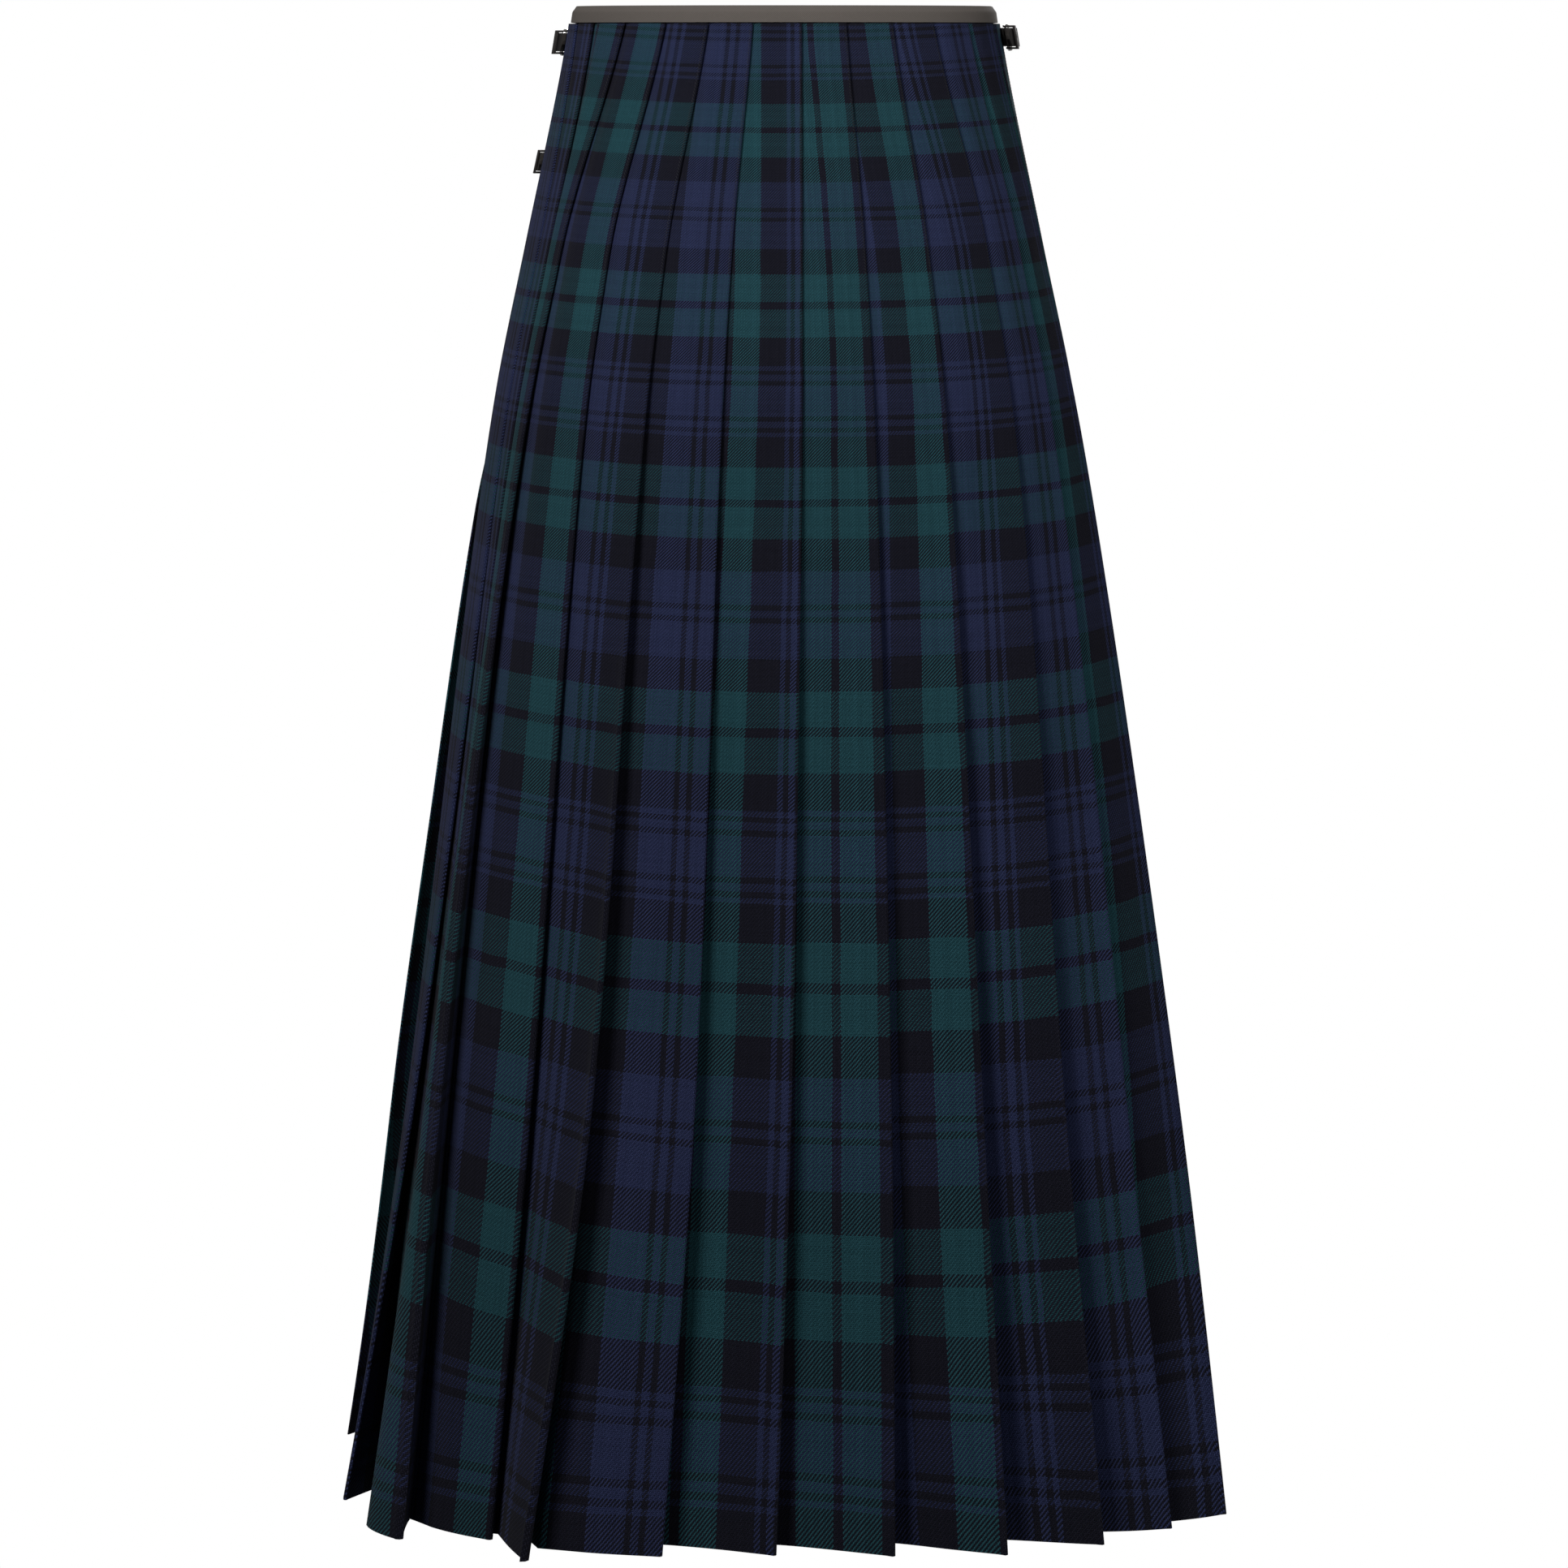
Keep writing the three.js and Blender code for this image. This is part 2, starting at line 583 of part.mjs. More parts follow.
// A rounded rectangle of round bar, tipped up towards its front.
function buckleGeometry(set) {
  const { height, rod } = FRAME;
  const frontBar = [FRAME.front, FRAME.frontLift];
  const heelBar = [FRAME.heel, FRAME.heelLift];
  const middleOf = ([along, out]) => fasteningPlace(set, along, 0, out);
  const length = middleOf(frontBar).distanceTo(middleOf(heelBar)) + rod;
  const rounded = (Path, inset, radius) => {
    const w = length / 2 - inset;
    const h = height / 2 - inset;
    const outline = new Path();
    outline.absarc(w - radius, h - radius, radius, 0, Math.PI / 2);
    outline.absarc(radius - w, h - radius, radius, Math.PI / 2, Math.PI);
    outline.absarc(radius - w, radius - h, radius, Math.PI, 1.5 * Math.PI);
    outline.absarc(w - radius, radius - h, radius, 1.5 * Math.PI, 2 * Math.PI);
    outline.closePath();
    return outline;
  };
  const bevel = 0.45;
  const shape = rounded(THREE.Shape, bevel, 2.6);
  shape.holes.push(rounded(THREE.Path, rod - bevel, 1.2));
  const extruded = new THREE.ExtrudeGeometry(shape, {
    depth: rod - 2 * bevel,
    bevelThickness: bevel,
    bevelSize: bevel,
    bevelSegments: 1,
    curveSegments: 3,
  });
  extruded.translate(0, 0, bevel - rod / 2);
  const placed = extruded.applyMatrix4(fasteningFrame(set, frontBar, heelBar));
  const bare = new THREE.BufferGeometry();
  bare.setAttribute("position", placed.attributes.position);
  const merged = mergeVertices(bare, 1e-4);
  const { array } = merged.attributes.position;
  const points = Array.from({ length: array.length / 3 }, (_, i) => new THREE.Vector3().fromArray(array, 3 * i));
  return closedGeometry(points, Array.from(merged.index.array));
}

// The prong leans from the heel bar up through the strap and rests over the front bar.
function prongGeometry(set) {
  const path = [[4.9, 3.1], [-2, 5.1], [FRAME.front + 1.5, 6.9], [FRAME.front - 1.4, 6.9]];
  return strip(set, path, PRONG.wall, () => PRONG.halfWidth);
}

// A bridge of leather over the strap's end, its feet beside the tab.
function keeperGeometry(set) {
  const side = STRAP.halfWidth + 0.4 + KEEPER.wall / 2;
  const ends = [KEEPER.at - KEEPER.length / 2, KEEPER.at + KEEPER.length / 2];
  const over = STRAP.wall / 2 + SEAM_GAP + KEEPER.wall / 2;
  const tabUnder = [[FRAME.heel, TAB.wall / 2], [TAB.end, tabEndOut(set)]];
  const ring = (along) => {
    const top = outAt(strapPath(set), along) + over;
    const foot = outAt(tabUnder, along);
    const middle = [[side, foot], [side, top], [-side, top], [-side, foot]];
    return wallSides(middle, KEEPER.wall).map(([up, out]) => fasteningPlace(set, along, up, out));
  };
  return skinned(ends.map(ring));
}

// ---- the skirt ----

add("pleated_back", hungCloth(ROWS, pleatedPath, CLOTH), COLOURS.tartan, WOOL);
add("under_apron", hungCloth(ROWS, underApronPath, CLOTH), COLOURS.tartan, WOOL);
add("outer_apron", hungCloth(ROWS, outerApronPath, CLOTH, outerApronRise), COLOURS.tartan, WOOL);
add("waistband", hungCloth([TAPE.top, TAPE.bottom], tapePath, TAPE.wall), COLOURS.taupe, WOOL);

for (const set of FASTENINGS) {
  add(set.name, strapGeometry(set), COLOURS.leather, HIDE);
  add(`${set.name}_tab`, tabGeometry(set), COLOURS.leather, HIDE);
  add(`${set.name}_keeper`, keeperGeometry(set), COLOURS.leather, HIDE);
  add(`${set.name}_buckle`, buckleGeometry(set), COLOURS.silver, STEEL);
  add(`${set.name}_prong`, prongGeometry(set), COLOURS.silver, STEEL);
}

export default group;
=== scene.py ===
# A long kilted skirt in dark tartan, filled out as it is worn and seen from the back.
# Metres, +Z up, the pleated back faces -Y and +X is the wearer's right. Cloth is drawn in
# millimetres by three numbers: "drop" below the waist, "round" along the figure from the
# centre back, and "lift" out from the figure.
import math
from collections import namedtuple

import bmesh
import bpy
import numpy as np
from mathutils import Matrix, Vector


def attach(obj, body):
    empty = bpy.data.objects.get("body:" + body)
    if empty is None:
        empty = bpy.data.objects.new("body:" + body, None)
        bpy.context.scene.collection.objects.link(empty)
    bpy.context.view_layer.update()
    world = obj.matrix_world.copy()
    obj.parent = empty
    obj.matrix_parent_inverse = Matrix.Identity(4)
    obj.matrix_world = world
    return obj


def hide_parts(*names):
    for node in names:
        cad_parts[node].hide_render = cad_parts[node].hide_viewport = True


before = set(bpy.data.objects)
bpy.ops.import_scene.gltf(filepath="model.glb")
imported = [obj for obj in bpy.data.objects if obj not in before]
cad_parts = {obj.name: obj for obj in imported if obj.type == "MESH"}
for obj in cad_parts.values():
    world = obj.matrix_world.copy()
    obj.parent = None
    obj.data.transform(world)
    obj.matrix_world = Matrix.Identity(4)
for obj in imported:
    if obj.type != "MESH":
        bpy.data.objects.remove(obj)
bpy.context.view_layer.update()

# ---- The view ----
# Level with the waist and three metres behind the wearer, tipped down so that the whole
# skirt fills the height of the view.

SENSOR, LENS = 36, 113  # millimetres
VIEW_AWAY, VIEW_FAR = 3.0, 60  # metres to the waist, and to the farthest thing seen
VIEW_TIP = 8.59  # degrees down from level

camera = bpy.data.objects.new("view", bpy.data.cameras.new("view"))
camera.data.sensor_width = SENSOR
camera.data.lens = LENS
camera.data.clip_end = VIEW_FAR
camera.location = (0, -VIEW_AWAY, 0)
camera.rotation_euler = (math.radians(90 - VIEW_TIP), 0, 0)
bpy.context.scene.collection.objects.link(camera)
bpy.context.scene.camera = camera

# ---- The tartan cloth ----
# Worsted wool, dyed as yarn and woven in a two-and-two twill. One sett repeats over warp and
# weft: green, black and blue bands, with narrow black lines on the green and the blue.

SETT = 324  # sett units in one repeat
THREADS = 1.54  # threads to a sett unit
TWILL = 4.0  # threads in one repeat of the twill
WANDER = 1.6  # how far threads stray from straight, in sett units
# These heights raise the relief and are also painted into the colour as shade: darker where threads
# dip and on the lower weft floats, lighter on the crowns.
CROWN, ARCH = 1.2, 0.4  # how high a thread's round top and its arch over two others stand
WARP_PROUD = 0.2  # how far the warp floats stand over the weft, to a thread's height of 1
FIBRE_PROUD = 0.35
GREEN = (0.0148, 0.0540, 0.0668)
BLUE = (0.0206, 0.0262, 0.0665)
BLACK = (0.0091, 0.0092, 0.0152)
STRIPES = [  # where each stripe starts, in sett units, and its yarn
    (0, GREEN), (24, BLACK), (30, GREEN), (54, BLACK),
    (78, BLUE), (82, BLACK), (86, BLUE), (90, BLACK), (94, BLUE), (120, BLACK),
    (124, BLUE), (128, BLACK), (132, BLUE), (136, BLACK),
    (160, GREEN), (184, BLACK), (190, GREEN), (214, BLACK),
    (238, BLUE), (263, BLACK), (267, BLUE), (271, BLACK), (275, BLUE), (300, BLACK),
]

# The shade that each gives the colour: how far it ranges, and its least. The height's is painted
# shade: darker where threads dip, lighter on their crowns.
DYE_SHADE, FIBRE_SHADE = (0.3, 0.85), (0.8, 0.6)
PATCH_SHADE, PAINTED_HEIGHT_SHADE = (0.16, 0.92), (1.95, 0.07)


def set_inputs(tree, made, inputs):
    """Fill a node's inputs, given by name or number, with values or links."""
    for key, value in inputs.items():
        if isinstance(value, bpy.types.NodeSocket):
            tree.links.new(value, made.inputs[key])
        else:
            made.inputs[key].default_value = value


def node(tree, kind, inputs=None, **settings):
    """A node with its settings and its inputs."""
    made = tree.nodes.new(kind)
    for name, value in settings.items():
        setattr(made, name, value)
    set_inputs(tree, made, inputs or {})
    return made


def maths(tree, operation, *values):
    """A Math node's result."""
    return node(tree, "ShaderNodeMath", dict(enumerate(values)), operation=operation).outputs[0]


def between(tree, share, first, second):
    """A number part way from the first to the second."""
    return node(tree, "ShaderNodeMix", {0: share, 2: first, 3: second}).outputs[0]


def mixed(tree, share, first, second, way="MIX"):
    """A colour part way from the first to the second."""
    return node(tree, "ShaderNodeMix", {0: share, 6: first, 7: second},
                data_type="RGBA", blend_type=way).outputs[2]


def noise(tree, place, **inputs):
    """A noise node's outputs: its value, then its colour."""
    return node(tree, "ShaderNodeTexNoise", {"Vector": place, **inputs}).outputs


def relief(tree, height, **inputs):
    """A surface normal that follows a height."""
    return node(tree, "ShaderNodeBump", {"Height": height, **inputs}).outputs[0]


def object_place(tree):
    return node(tree, "ShaderNodeTexCoord").outputs["Object"]


def new_material(name):
    """A material with its node tree and its surface shader."""
    material = bpy.data.materials.new(name)
    material.use_nodes = True
    return material, material.node_tree, material.node_tree.nodes["Principled BSDF"]


def yarn_stripes(tree, thread):
    """The yarn colour of a thread, counted across the cloth."""
    setts = maths(tree, "DIVIDE", maths(tree, "ADD", thread, 0.5), SETT * THREADS)
    ramp = node(tree, "ShaderNodeValToRGB", {0: maths(tree, "FRACT", setts)})
    ramp.color_ramp.interpolation = "CONSTANT"
    stops = ramp.color_ramp.elements
    for stop, (start, colour) in zip(stops, STRIPES):
        stop.position, stop.color = start / SETT, (*colour, 1)
    for start, colour in STRIPES[2:]:
        stops.new(start / SETT).color = (*colour, 1)
    return ramp.outputs[0]


def woven_height(tree, across, along):
    """How high a floating thread stands: round across it, and arched over its two crossings."""
    crown = maths(tree, "PINGPONG", across, 0.5)
    arch = maths(tree, "SINE", maths(tree, "MULTIPLY", along, math.pi / (TWILL / 2)))
    return maths(tree, "ADD", maths(tree, "MULTIPLY", crown, CROWN),
                 maths(tree, "MULTIPLY", arch, ARCH))


def strayed(tree, weave, place):
    """The weave's places, with threads that wander a little from straight."""
    wander = noise(tree, place, Scale=45.0, Detail=2.0)["Color"]
    shift = node(tree, "ShaderNodeVectorMath", {0: wander, 1: (0.5, 0.5, 0.5)},
                 operation="SUBTRACT").outputs[0]
    shift = node(tree, "ShaderNodeVectorMath", {0: shift, 3: WANDER},
                 operation="SCALE").outputs[0]
    return node(tree, "ShaderNodeVectorMath", {0: weave, 1: shift}, operation="ADD").outputs[0]


def dye_take(tree, thread):
    """Every thread takes the dye a little differently."""
    return node(tree, "ShaderNodeTexWhiteNoise", {"W": thread}, noise_dimensions="1D").outputs[0]


def tartan_twill():
    material, tree, shader = new_material("tartan_twill")
    weave = node(tree, "ShaderNodeUVMap", uv_map="weave").outputs[0]
    place = object_place(tree)
    axes = node(tree, "ShaderNodeSeparateXYZ", {0: strayed(tree, weave, place)})
    u = maths(tree, "MULTIPLY", axes.outputs[0], THREADS)
    v = maths(tree, "MULTIPLY", axes.outputs[1], THREADS)
    warp_thread, weft_thread = maths(tree, "FLOOR", u), maths(tree, "FLOOR", v)

    # Two over and two under, one thread further at each pick, so the twill climbs rightwards.
    step = maths(tree, "FLOORED_MODULO", maths(tree, "ADD", warp_thread, weft_thread), TWILL)
    warp_on_top = maths(tree, "LESS_THAN", step, TWILL / 2 - 0.5)
    colour = mixed(tree, warp_on_top, yarn_stripes(tree, weft_thread),
                   yarn_stripes(tree, warp_thread))

    # Each thread is round: it stands highest where it floats, and its height also paints shade into
    # the colour where it dips.
    warp_along = maths(tree, "FLOORED_MODULO", maths(tree, "ADD", warp_thread, v), TWILL)
    weft_along = maths(tree, "FLOORED_MODULO", maths(tree, "ADD", u, weft_thread), TWILL)
    weft_along = maths(tree, "SUBTRACT", weft_along, TWILL / 2)
    warp_high = woven_height(tree, maths(tree, "FRACT", u), warp_along)
    weft_high = woven_height(tree, maths(tree, "FRACT", v), weft_along)
    weft_high = maths(tree, "SUBTRACT", weft_high, WARP_PROUD)
    high = between(tree, warp_on_top, weft_high, warp_high)

    # The dye, the fibres on the face and slow patches tone the yarn, and the height paints shade on
    # it: darker in the dips, lighter on the crowns.
    dye = between(tree, warp_on_top, dye_take(tree, weft_thread), dye_take(tree, warp_thread))
    fibre = noise(tree, place, Scale=1500.0, Detail=3.0, Roughness=0.7)[0]
    patch = noise(tree, place, Scale=9.0, Detail=2.0)[0]
    tone_and_painted_shade = maths(tree, "MULTIPLY_ADD", dye, *DYE_SHADE)
    for part, shade in ((fibre, FIBRE_SHADE), (patch, PATCH_SHADE), (high, PAINTED_HEIGHT_SHADE)):
        tone_and_painted_shade = maths(tree, "MULTIPLY", tone_and_painted_shade, maths(tree, "MULTIPLY_ADD", part, *shade))
    # A grey of the tone and the painted shade, multiplied into the yarn colour.
    tone_and_shade_grey = node(tree, "ShaderNodeCombineColor", {0: tone_and_painted_shade, 1: tone_and_painted_shade, 2: tone_and_painted_shade}).outputs[0]

    high = maths(tree, "ADD", high, maths(tree, "MULTIPLY", fibre, FIBRE_PROUD))
    set_inputs(tree, shader, {
        "Base Color": mixed(tree, 1.0, colour, tone_and_shade_grey, "MULTIPLY"),
        "Normal": relief(tree, high, Strength=0.5, Distance=0.0006),
        "Roughness": 0.92, "Specular IOR Level": 0.04,
        "Sheen Weight": 0.02, "Sheen Roughness": 0.45,
    })
    return material


tartan = tartan_twill()

# ---- The pleated back ----
# One long width of the tartan folded into thirteen knife pleats, each turned towards the
# wearer's right, pressed sharp, stitched down to the hip and hanging free below it.

CLOTH = 1.1  # wall
LAYER = 1.45  # from one pressed layer to the next
TURN = LAYER / 2  # radius of a pressed fold
GROUND = CLOTH / 2
TOP, FELL, KNEE, HEM = -10, 130, 600, 904
LEFT_SEAM = -0.52  # where the pleated back joins the under apron, in parts of the half round
LAST_TAIL = 4  # the last pleat's hidden layer ends this far inside its folded edge

# The figure at each drop: half width, depth behind and in front, and how square its oval is.
FIGURE = np.array([
    (-22, 124, 91, 88, 2.2), (0, 127.5, 94, 91, 2.2), (120, 153, 114, 99, 2.3),
    (210, 172, 121, 105, 2.4), (330, 190, 120, 112, 2.45), (630, 225, 114, 133, 2.5),
    (904, 253, 108, 150, 2.5),
])
FIGURE_STEPS = 721  # points round the figure

# Each pleat's folded edge at the waist, the fell, the knee and the hem in hundredths of the
# half round. Then at the hem how far its edge stands out and its root lies out, the power of
# its rise between them, and of its growth down the skirt, and the radius of its edge.
PLEATS = np.array([
    (-41.4, -39.3, -41.2, -45.3, 23.5, 23, 1.25, 2.5, 0.9),
    (-35.4, -36.4, -37.8, -39.6, 12, 2, 1.25, 1, 0.9),
    (-27.9, -33.6, -34.8, -34.5, 37, 3, 0.16, 1, 2.2),
    (-20.1, -24.9, -25.9, -27.6, 14, 5, 0.9, 1, 1.6),
    (-12.7, -16.5, -18.7, -22.7, 50, 1, 1.05, 1, 3.2),
    (-5.3, -7.3, -8.9, -11.3, 29, 22, 1.25, 1, 1.2),
    (2.8, 2.4, 0.8, -0.8, 25, 5, 1.25, 1, 1.2),
    (10.2, 11.1, 10.8, 10.2, 28, 3, 1.25, 1, 1.2),
    (18.1, 20.1, 19.8, 20.3, 33, 1, 1.25, 1, 1.2),
    (25.6, 29.5, 28.3, 29.3, 28, 1, 1.25, 1, 1.2),
    (33.2, 36.2, 35.8, 36.7, 20, 1, 1.25, 1, 1.2),
    (41.2, 44.6, 44.0, 42.2, 30, 6, 1.25, 1, 1.2),
    (49.0, 53.0, 54.5, 55.0, 14, 3, 1.25, 1, 1.2),
])
OPENS_LATE = 1.2  # the power of how the pleats open down the skirt
FIRST_PLEAT = -7  # counted from the pleat nearest the centre back
PLEAT_TAKES = 129.6  # sett units of cloth in one pleat
EDGE_YARN = 222  # the sett unit on the folded edge of pleat 0

# How wide a sett unit is across the skirt at each drop, as the cloth is eased at the waist.
WARP_SPREAD = np.array([(-22, 0.600), (42, 0.611), (143, 0.63), (255, 0.70), (390, 0.80),
                        (540, 0.875), (722, 0.94), (904, 0.95)])

# The weft: the sett unit at the waist, how tall a unit is there, and how that grows by the
# millimetre. Then how far each level rises at the sides, by drop, and the shape of its bow.
WEFT_START, WEFT_SPREAD, WEFT_GROWTH = 93.9, 0.527, 0.00091
WEFT_RISE = np.array([(50, 5), (150, 4), (266, 8), (400, 10.6), (740, 24), (880, -5)])
WEFT_HIGHEST = -40  # the drop above which the weft isn't followed
WIDE_BOW, NARROW_BOW = 0.548, 0.528


def smooth_table(table, column, drop):
    """A curve through one column of a table, against its first, with no overshoot."""
    at, value = table[:, 0].astype(float), table[:, column].astype(float)
    step = np.diff(at)
    slope = np.diff(value) / step
    tangent = np.concatenate([slope[:1], np.zeros(len(at) - 2), slope[-1:]])
    for i in range(1, len(at) - 1):
        if slope[i - 1] * slope[i] > 0:
            before, after = 2 * step[i] + step[i - 1], step[i] + 2 * step[i - 1]
            tangent[i] = (before + after) / (before / slope[i - 1] + after / slope[i])
    i = int(np.clip(np.searchsorted(at, drop) - 1, 0, len(step) - 1))
    t = (drop - at[i]) / step[i]
    return float((2 * t**3 - 3 * t**2 + 1) * value[i]
                 + (t**3 - 2 * t**2 + t) * step[i] * tangent[i]
                 + (3 * t**2 - 2 * t**3) * value[i + 1]
                 + (t**3 - t**2) * step[i] * tangent[i + 1])


figure_rounds = {}


def figure_at(drop):
    """The figure's outline at a drop: running length from the centre back, place and normal."""
    if drop not in figure_rounds:
        side, back, front, power = (smooth_table(FIGURE, column, drop) for column in (1, 2, 3, 4))
        angle = np.linspace(-math.pi, math.pi, FIGURE_STEPS)
        sine, cosine = np.sin(angle), np.cos(angle)
        depth = np.where(cosine > 0, back, front)
        x = side * np.sign(sine) * np.abs(sine) ** (2 / power)
        y = -depth * np.sign(cosine) * np.abs(cosine) ** (2 / power)
        nx = np.sign(x) * np.abs(x / side) ** (power - 1) / side
        ny = np.sign(y) * np.abs(y / depth) ** (power - 1) / depth
        size = np.hypot(nx, ny)
        run = np.concatenate([[0], np.cumsum(np.hypot(np.diff(x), np.diff(y)))])
        figure_rounds[drop] = (run - run[-1] / 2, x, y, nx / size, ny / size, run[-1] / 2)
    return figure_rounds[drop]


def half_round(drop):
    """Half the way round the figure, in millimetres."""
    return figure_at(drop)[-1]


def on_figure(rounds, drop, lifts, rises=0.0):
    """Points in metres, from places round the figure, a drop, lifts and rises."""
    run, x, y, nx, ny, half = figure_at(drop)
    along = (np.asarray(rounds, float) + half) % (2 * half) - half
    x, y, nx, ny = (np.interp(along, run, column) for column in (x, y, nx, ny))
    z = np.broadcast_to(rises - drop, x.shape)
    return np.stack([x + nx * lifts, y + ny * lifts, z], axis=-1) / 1000


MITRE_MOST = 1.6  # how far a sharp corner may reach, in half walls


def wall_sides(rounds, lifts, wall):
    """A cloth's middle line moved out and in by half its wall."""
    run, climb = np.diff(rounds), np.diff(lifts)
    size = np.hypot(run, climb)
    across, out = -climb / size, run / size
    across = np.concatenate([across[:1], across]) + np.concatenate([across, across[-1:]])
    out = np.concatenate([out[:1], out]) + np.concatenate([out, out[-1:]])
    size = np.hypot(across, out)
    reach = wall / 2 * np.minimum(2 / size, MITRE_MOST) / size
    across, out = across * reach, out * reach
    return (rounds + across, lifts + out), (rounds - across, lifts - out)


def opened(drop):
    """How far the pleats have opened: 0 down to the fell, 1 at the hem."""
    return float(np.clip((drop - FELL) / (HEM - FELL), 0, 1)) ** OPENS_LATE


def ease(value, low, high):
    """From 0 at the low to 1 at the high, with a soft start and end."""
    t = np.clip((value - low) / (high - low), 0, 1)
    return t * t * (3 - 2 * t)


def blend(first, second, share):
    return first + (second - first) * share


def bump(value, at, wide):
    """1 at a place, and less and less away from it."""
    return np.exp(-(((value - at) / wide) ** 2))


def weft_at(rounds, drop):
    """The sett unit that crosses each place, further apart low down and rising at the sides."""
    share = np.abs((rounds / half_round(drop) + 1) % 2 - 1)
    aside = np.sin(math.pi * share)
    rise = np.interp(drop, *WEFT_RISE.T) * (WIDE_BOW * aside ** 2 + NARROW_BOW * aside ** 4)
    low = np.maximum(drop + rise, WEFT_HIGHEST)
    return WEFT_START + np.log(1 + WEFT_GROWTH / WEFT_SPREAD * low) / WEFT_GROWTH


def hang_cloth(name, drops, row_at, wall_at, rise_at):
    """A closed sheet from rows of (rounds, lifts, warp units), with the weave in its UV map."""
    sides = ([], [])
    weave = []
    for drop in drops:
        rounds, lifts, warp = row_at(drop)
        rises = rise_at(rounds, drop)
        weave.append(np.stack([warp, weft_at(rounds, drop)], axis=-1))
        for side, (along, out) in zip(sides, wall_sides(rounds, lifts, wall_at(drop))):
            side.append(on_figure(along, drop, out, rises))
    rows, columns = len(drops), len(weave[0])
    places = np.concatenate([np.array(side).reshape(-1, 3) for side in sides])
    weave = np.tile(np.array(weave).reshape(-1, 2), (2, 1))
    grid = np.arange(rows * columns).reshape(rows, columns)
    face = np.stack([grid[:-1, :-1], grid[1:, :-1], grid[1:, 1:], grid[:-1, 1:]], -1)
    face = face.reshape(-1, 4)
    inner = rows * columns
    rim = [(grid[0, :-1], grid[0, 1:]), (grid[-1, 1:], grid[-1, :-1]),
           (grid[1:, 0], grid[:-1, 0]), (grid[:-1, -1], grid[1:, -1])]
    edges = [np.stack([a, b, b + inner, a + inner], -1) for a, b in rim]
    faces = np.concatenate([face, face[:, ::-1] + inner, *edges])
    mesh = bpy.data.meshes.new(name)
    mesh.from_pydata(places.tolist(), [], faces.tolist())
    corners = np.zeros(len(mesh.loops), dtype=np.int64)
    mesh.loops.foreach_get("vertex_index", corners)
    weave = weave[corners].astype(np.float32).ravel()
    mesh.uv_layers.new(name="weave").data.foreach_set("uv", weave)
    mesh.shade_smooth()
    mesh.set_sharp_from_angle(angle=math.radians(60))
    made = bpy.data.objects.new(name, mesh)
    bpy.context.scene.collection.objects.link(made)
    return made


def cloth_wall(drop):
    return CLOTH


def no_rise(rounds, drop):
    return 0.0


def fold_edge(pleat, drop):
    """Where a pleat's folded edge lies round the figure."""
    table = np.stack([(TOP, FELL, KNEE, HEM), pleat[:4]], axis=-1)
    return smooth_table(table, 1, drop) / 100 * half_round(drop)


# A pleat runs back under itself by a share of its width, up to the most in millimetres.
HIDDEN_SHARE, HIDDEN_MOST = 0.65, 30

# Where the points of a pleat lie: over the panel that shows, round its folded edge, back from
# the edge under the panel, and from the hidden turn to the next root.
PANEL = np.array([0, 0.03, 0.08, 0.16, 0.27, 0.40, 0.53, 0.66, 0.78, 0.88, 0.95])
ROLL = np.radians([90, 50, 0, -50, -90])
BACK_TURN = np.array([0.25, 0.5, 0.75])
RUN_IN = np.array([0.0, 0.35, 0.7])
CORNER = 0.29  # where the middle of a hidden turn lies, in parts of its radius

BACK_EARLY, RUN_IN_LATE = 0.86, 1.55  # the powers of their fall and rise
CLIMB_FROM, CLIMB_CLEAR = 0.05, 2  # where a pressed panel climbs, and how it clears the turn

# How the hidden cloth's yarn is shared: the next root's place in the pleat, the way back from
# the edge and round the turn, in parts of that, and the run in to the root.
NEXT_ROOT, BACK_YARN, RUN_IN_YARN = 0.55, 0.5, 0.45
TURN_YARN = np.array([0.55, 0.58, 0.6])

Fold = namedtuple("Fold", "start at under stand root belly roll")


def pleat_places(drop):
    """Each pleat at a drop: start, edge, hidden depth, lifts, rise and radius of its edge."""
    open_share = opened(drop)
    start = LEFT_SEAM * half_round(drop)
    folds = []
    for pleat in PLEATS:
        stand, root, belly, late, roll = pleat[4:]
        at = fold_edge(pleat, drop)
        under = min(HIDDEN_MOST, HIDDEN_SHARE * (at - start))
        stand = blend(GROUND + 2 * LAYER, stand, open_share ** late)
        root = blend(GROUND, max(root, GROUND), open_share ** late)
        folds.append(Fold(start, at, under, stand, root, belly, blend(TURN, roll, open_share)))
        start = at
    return folds


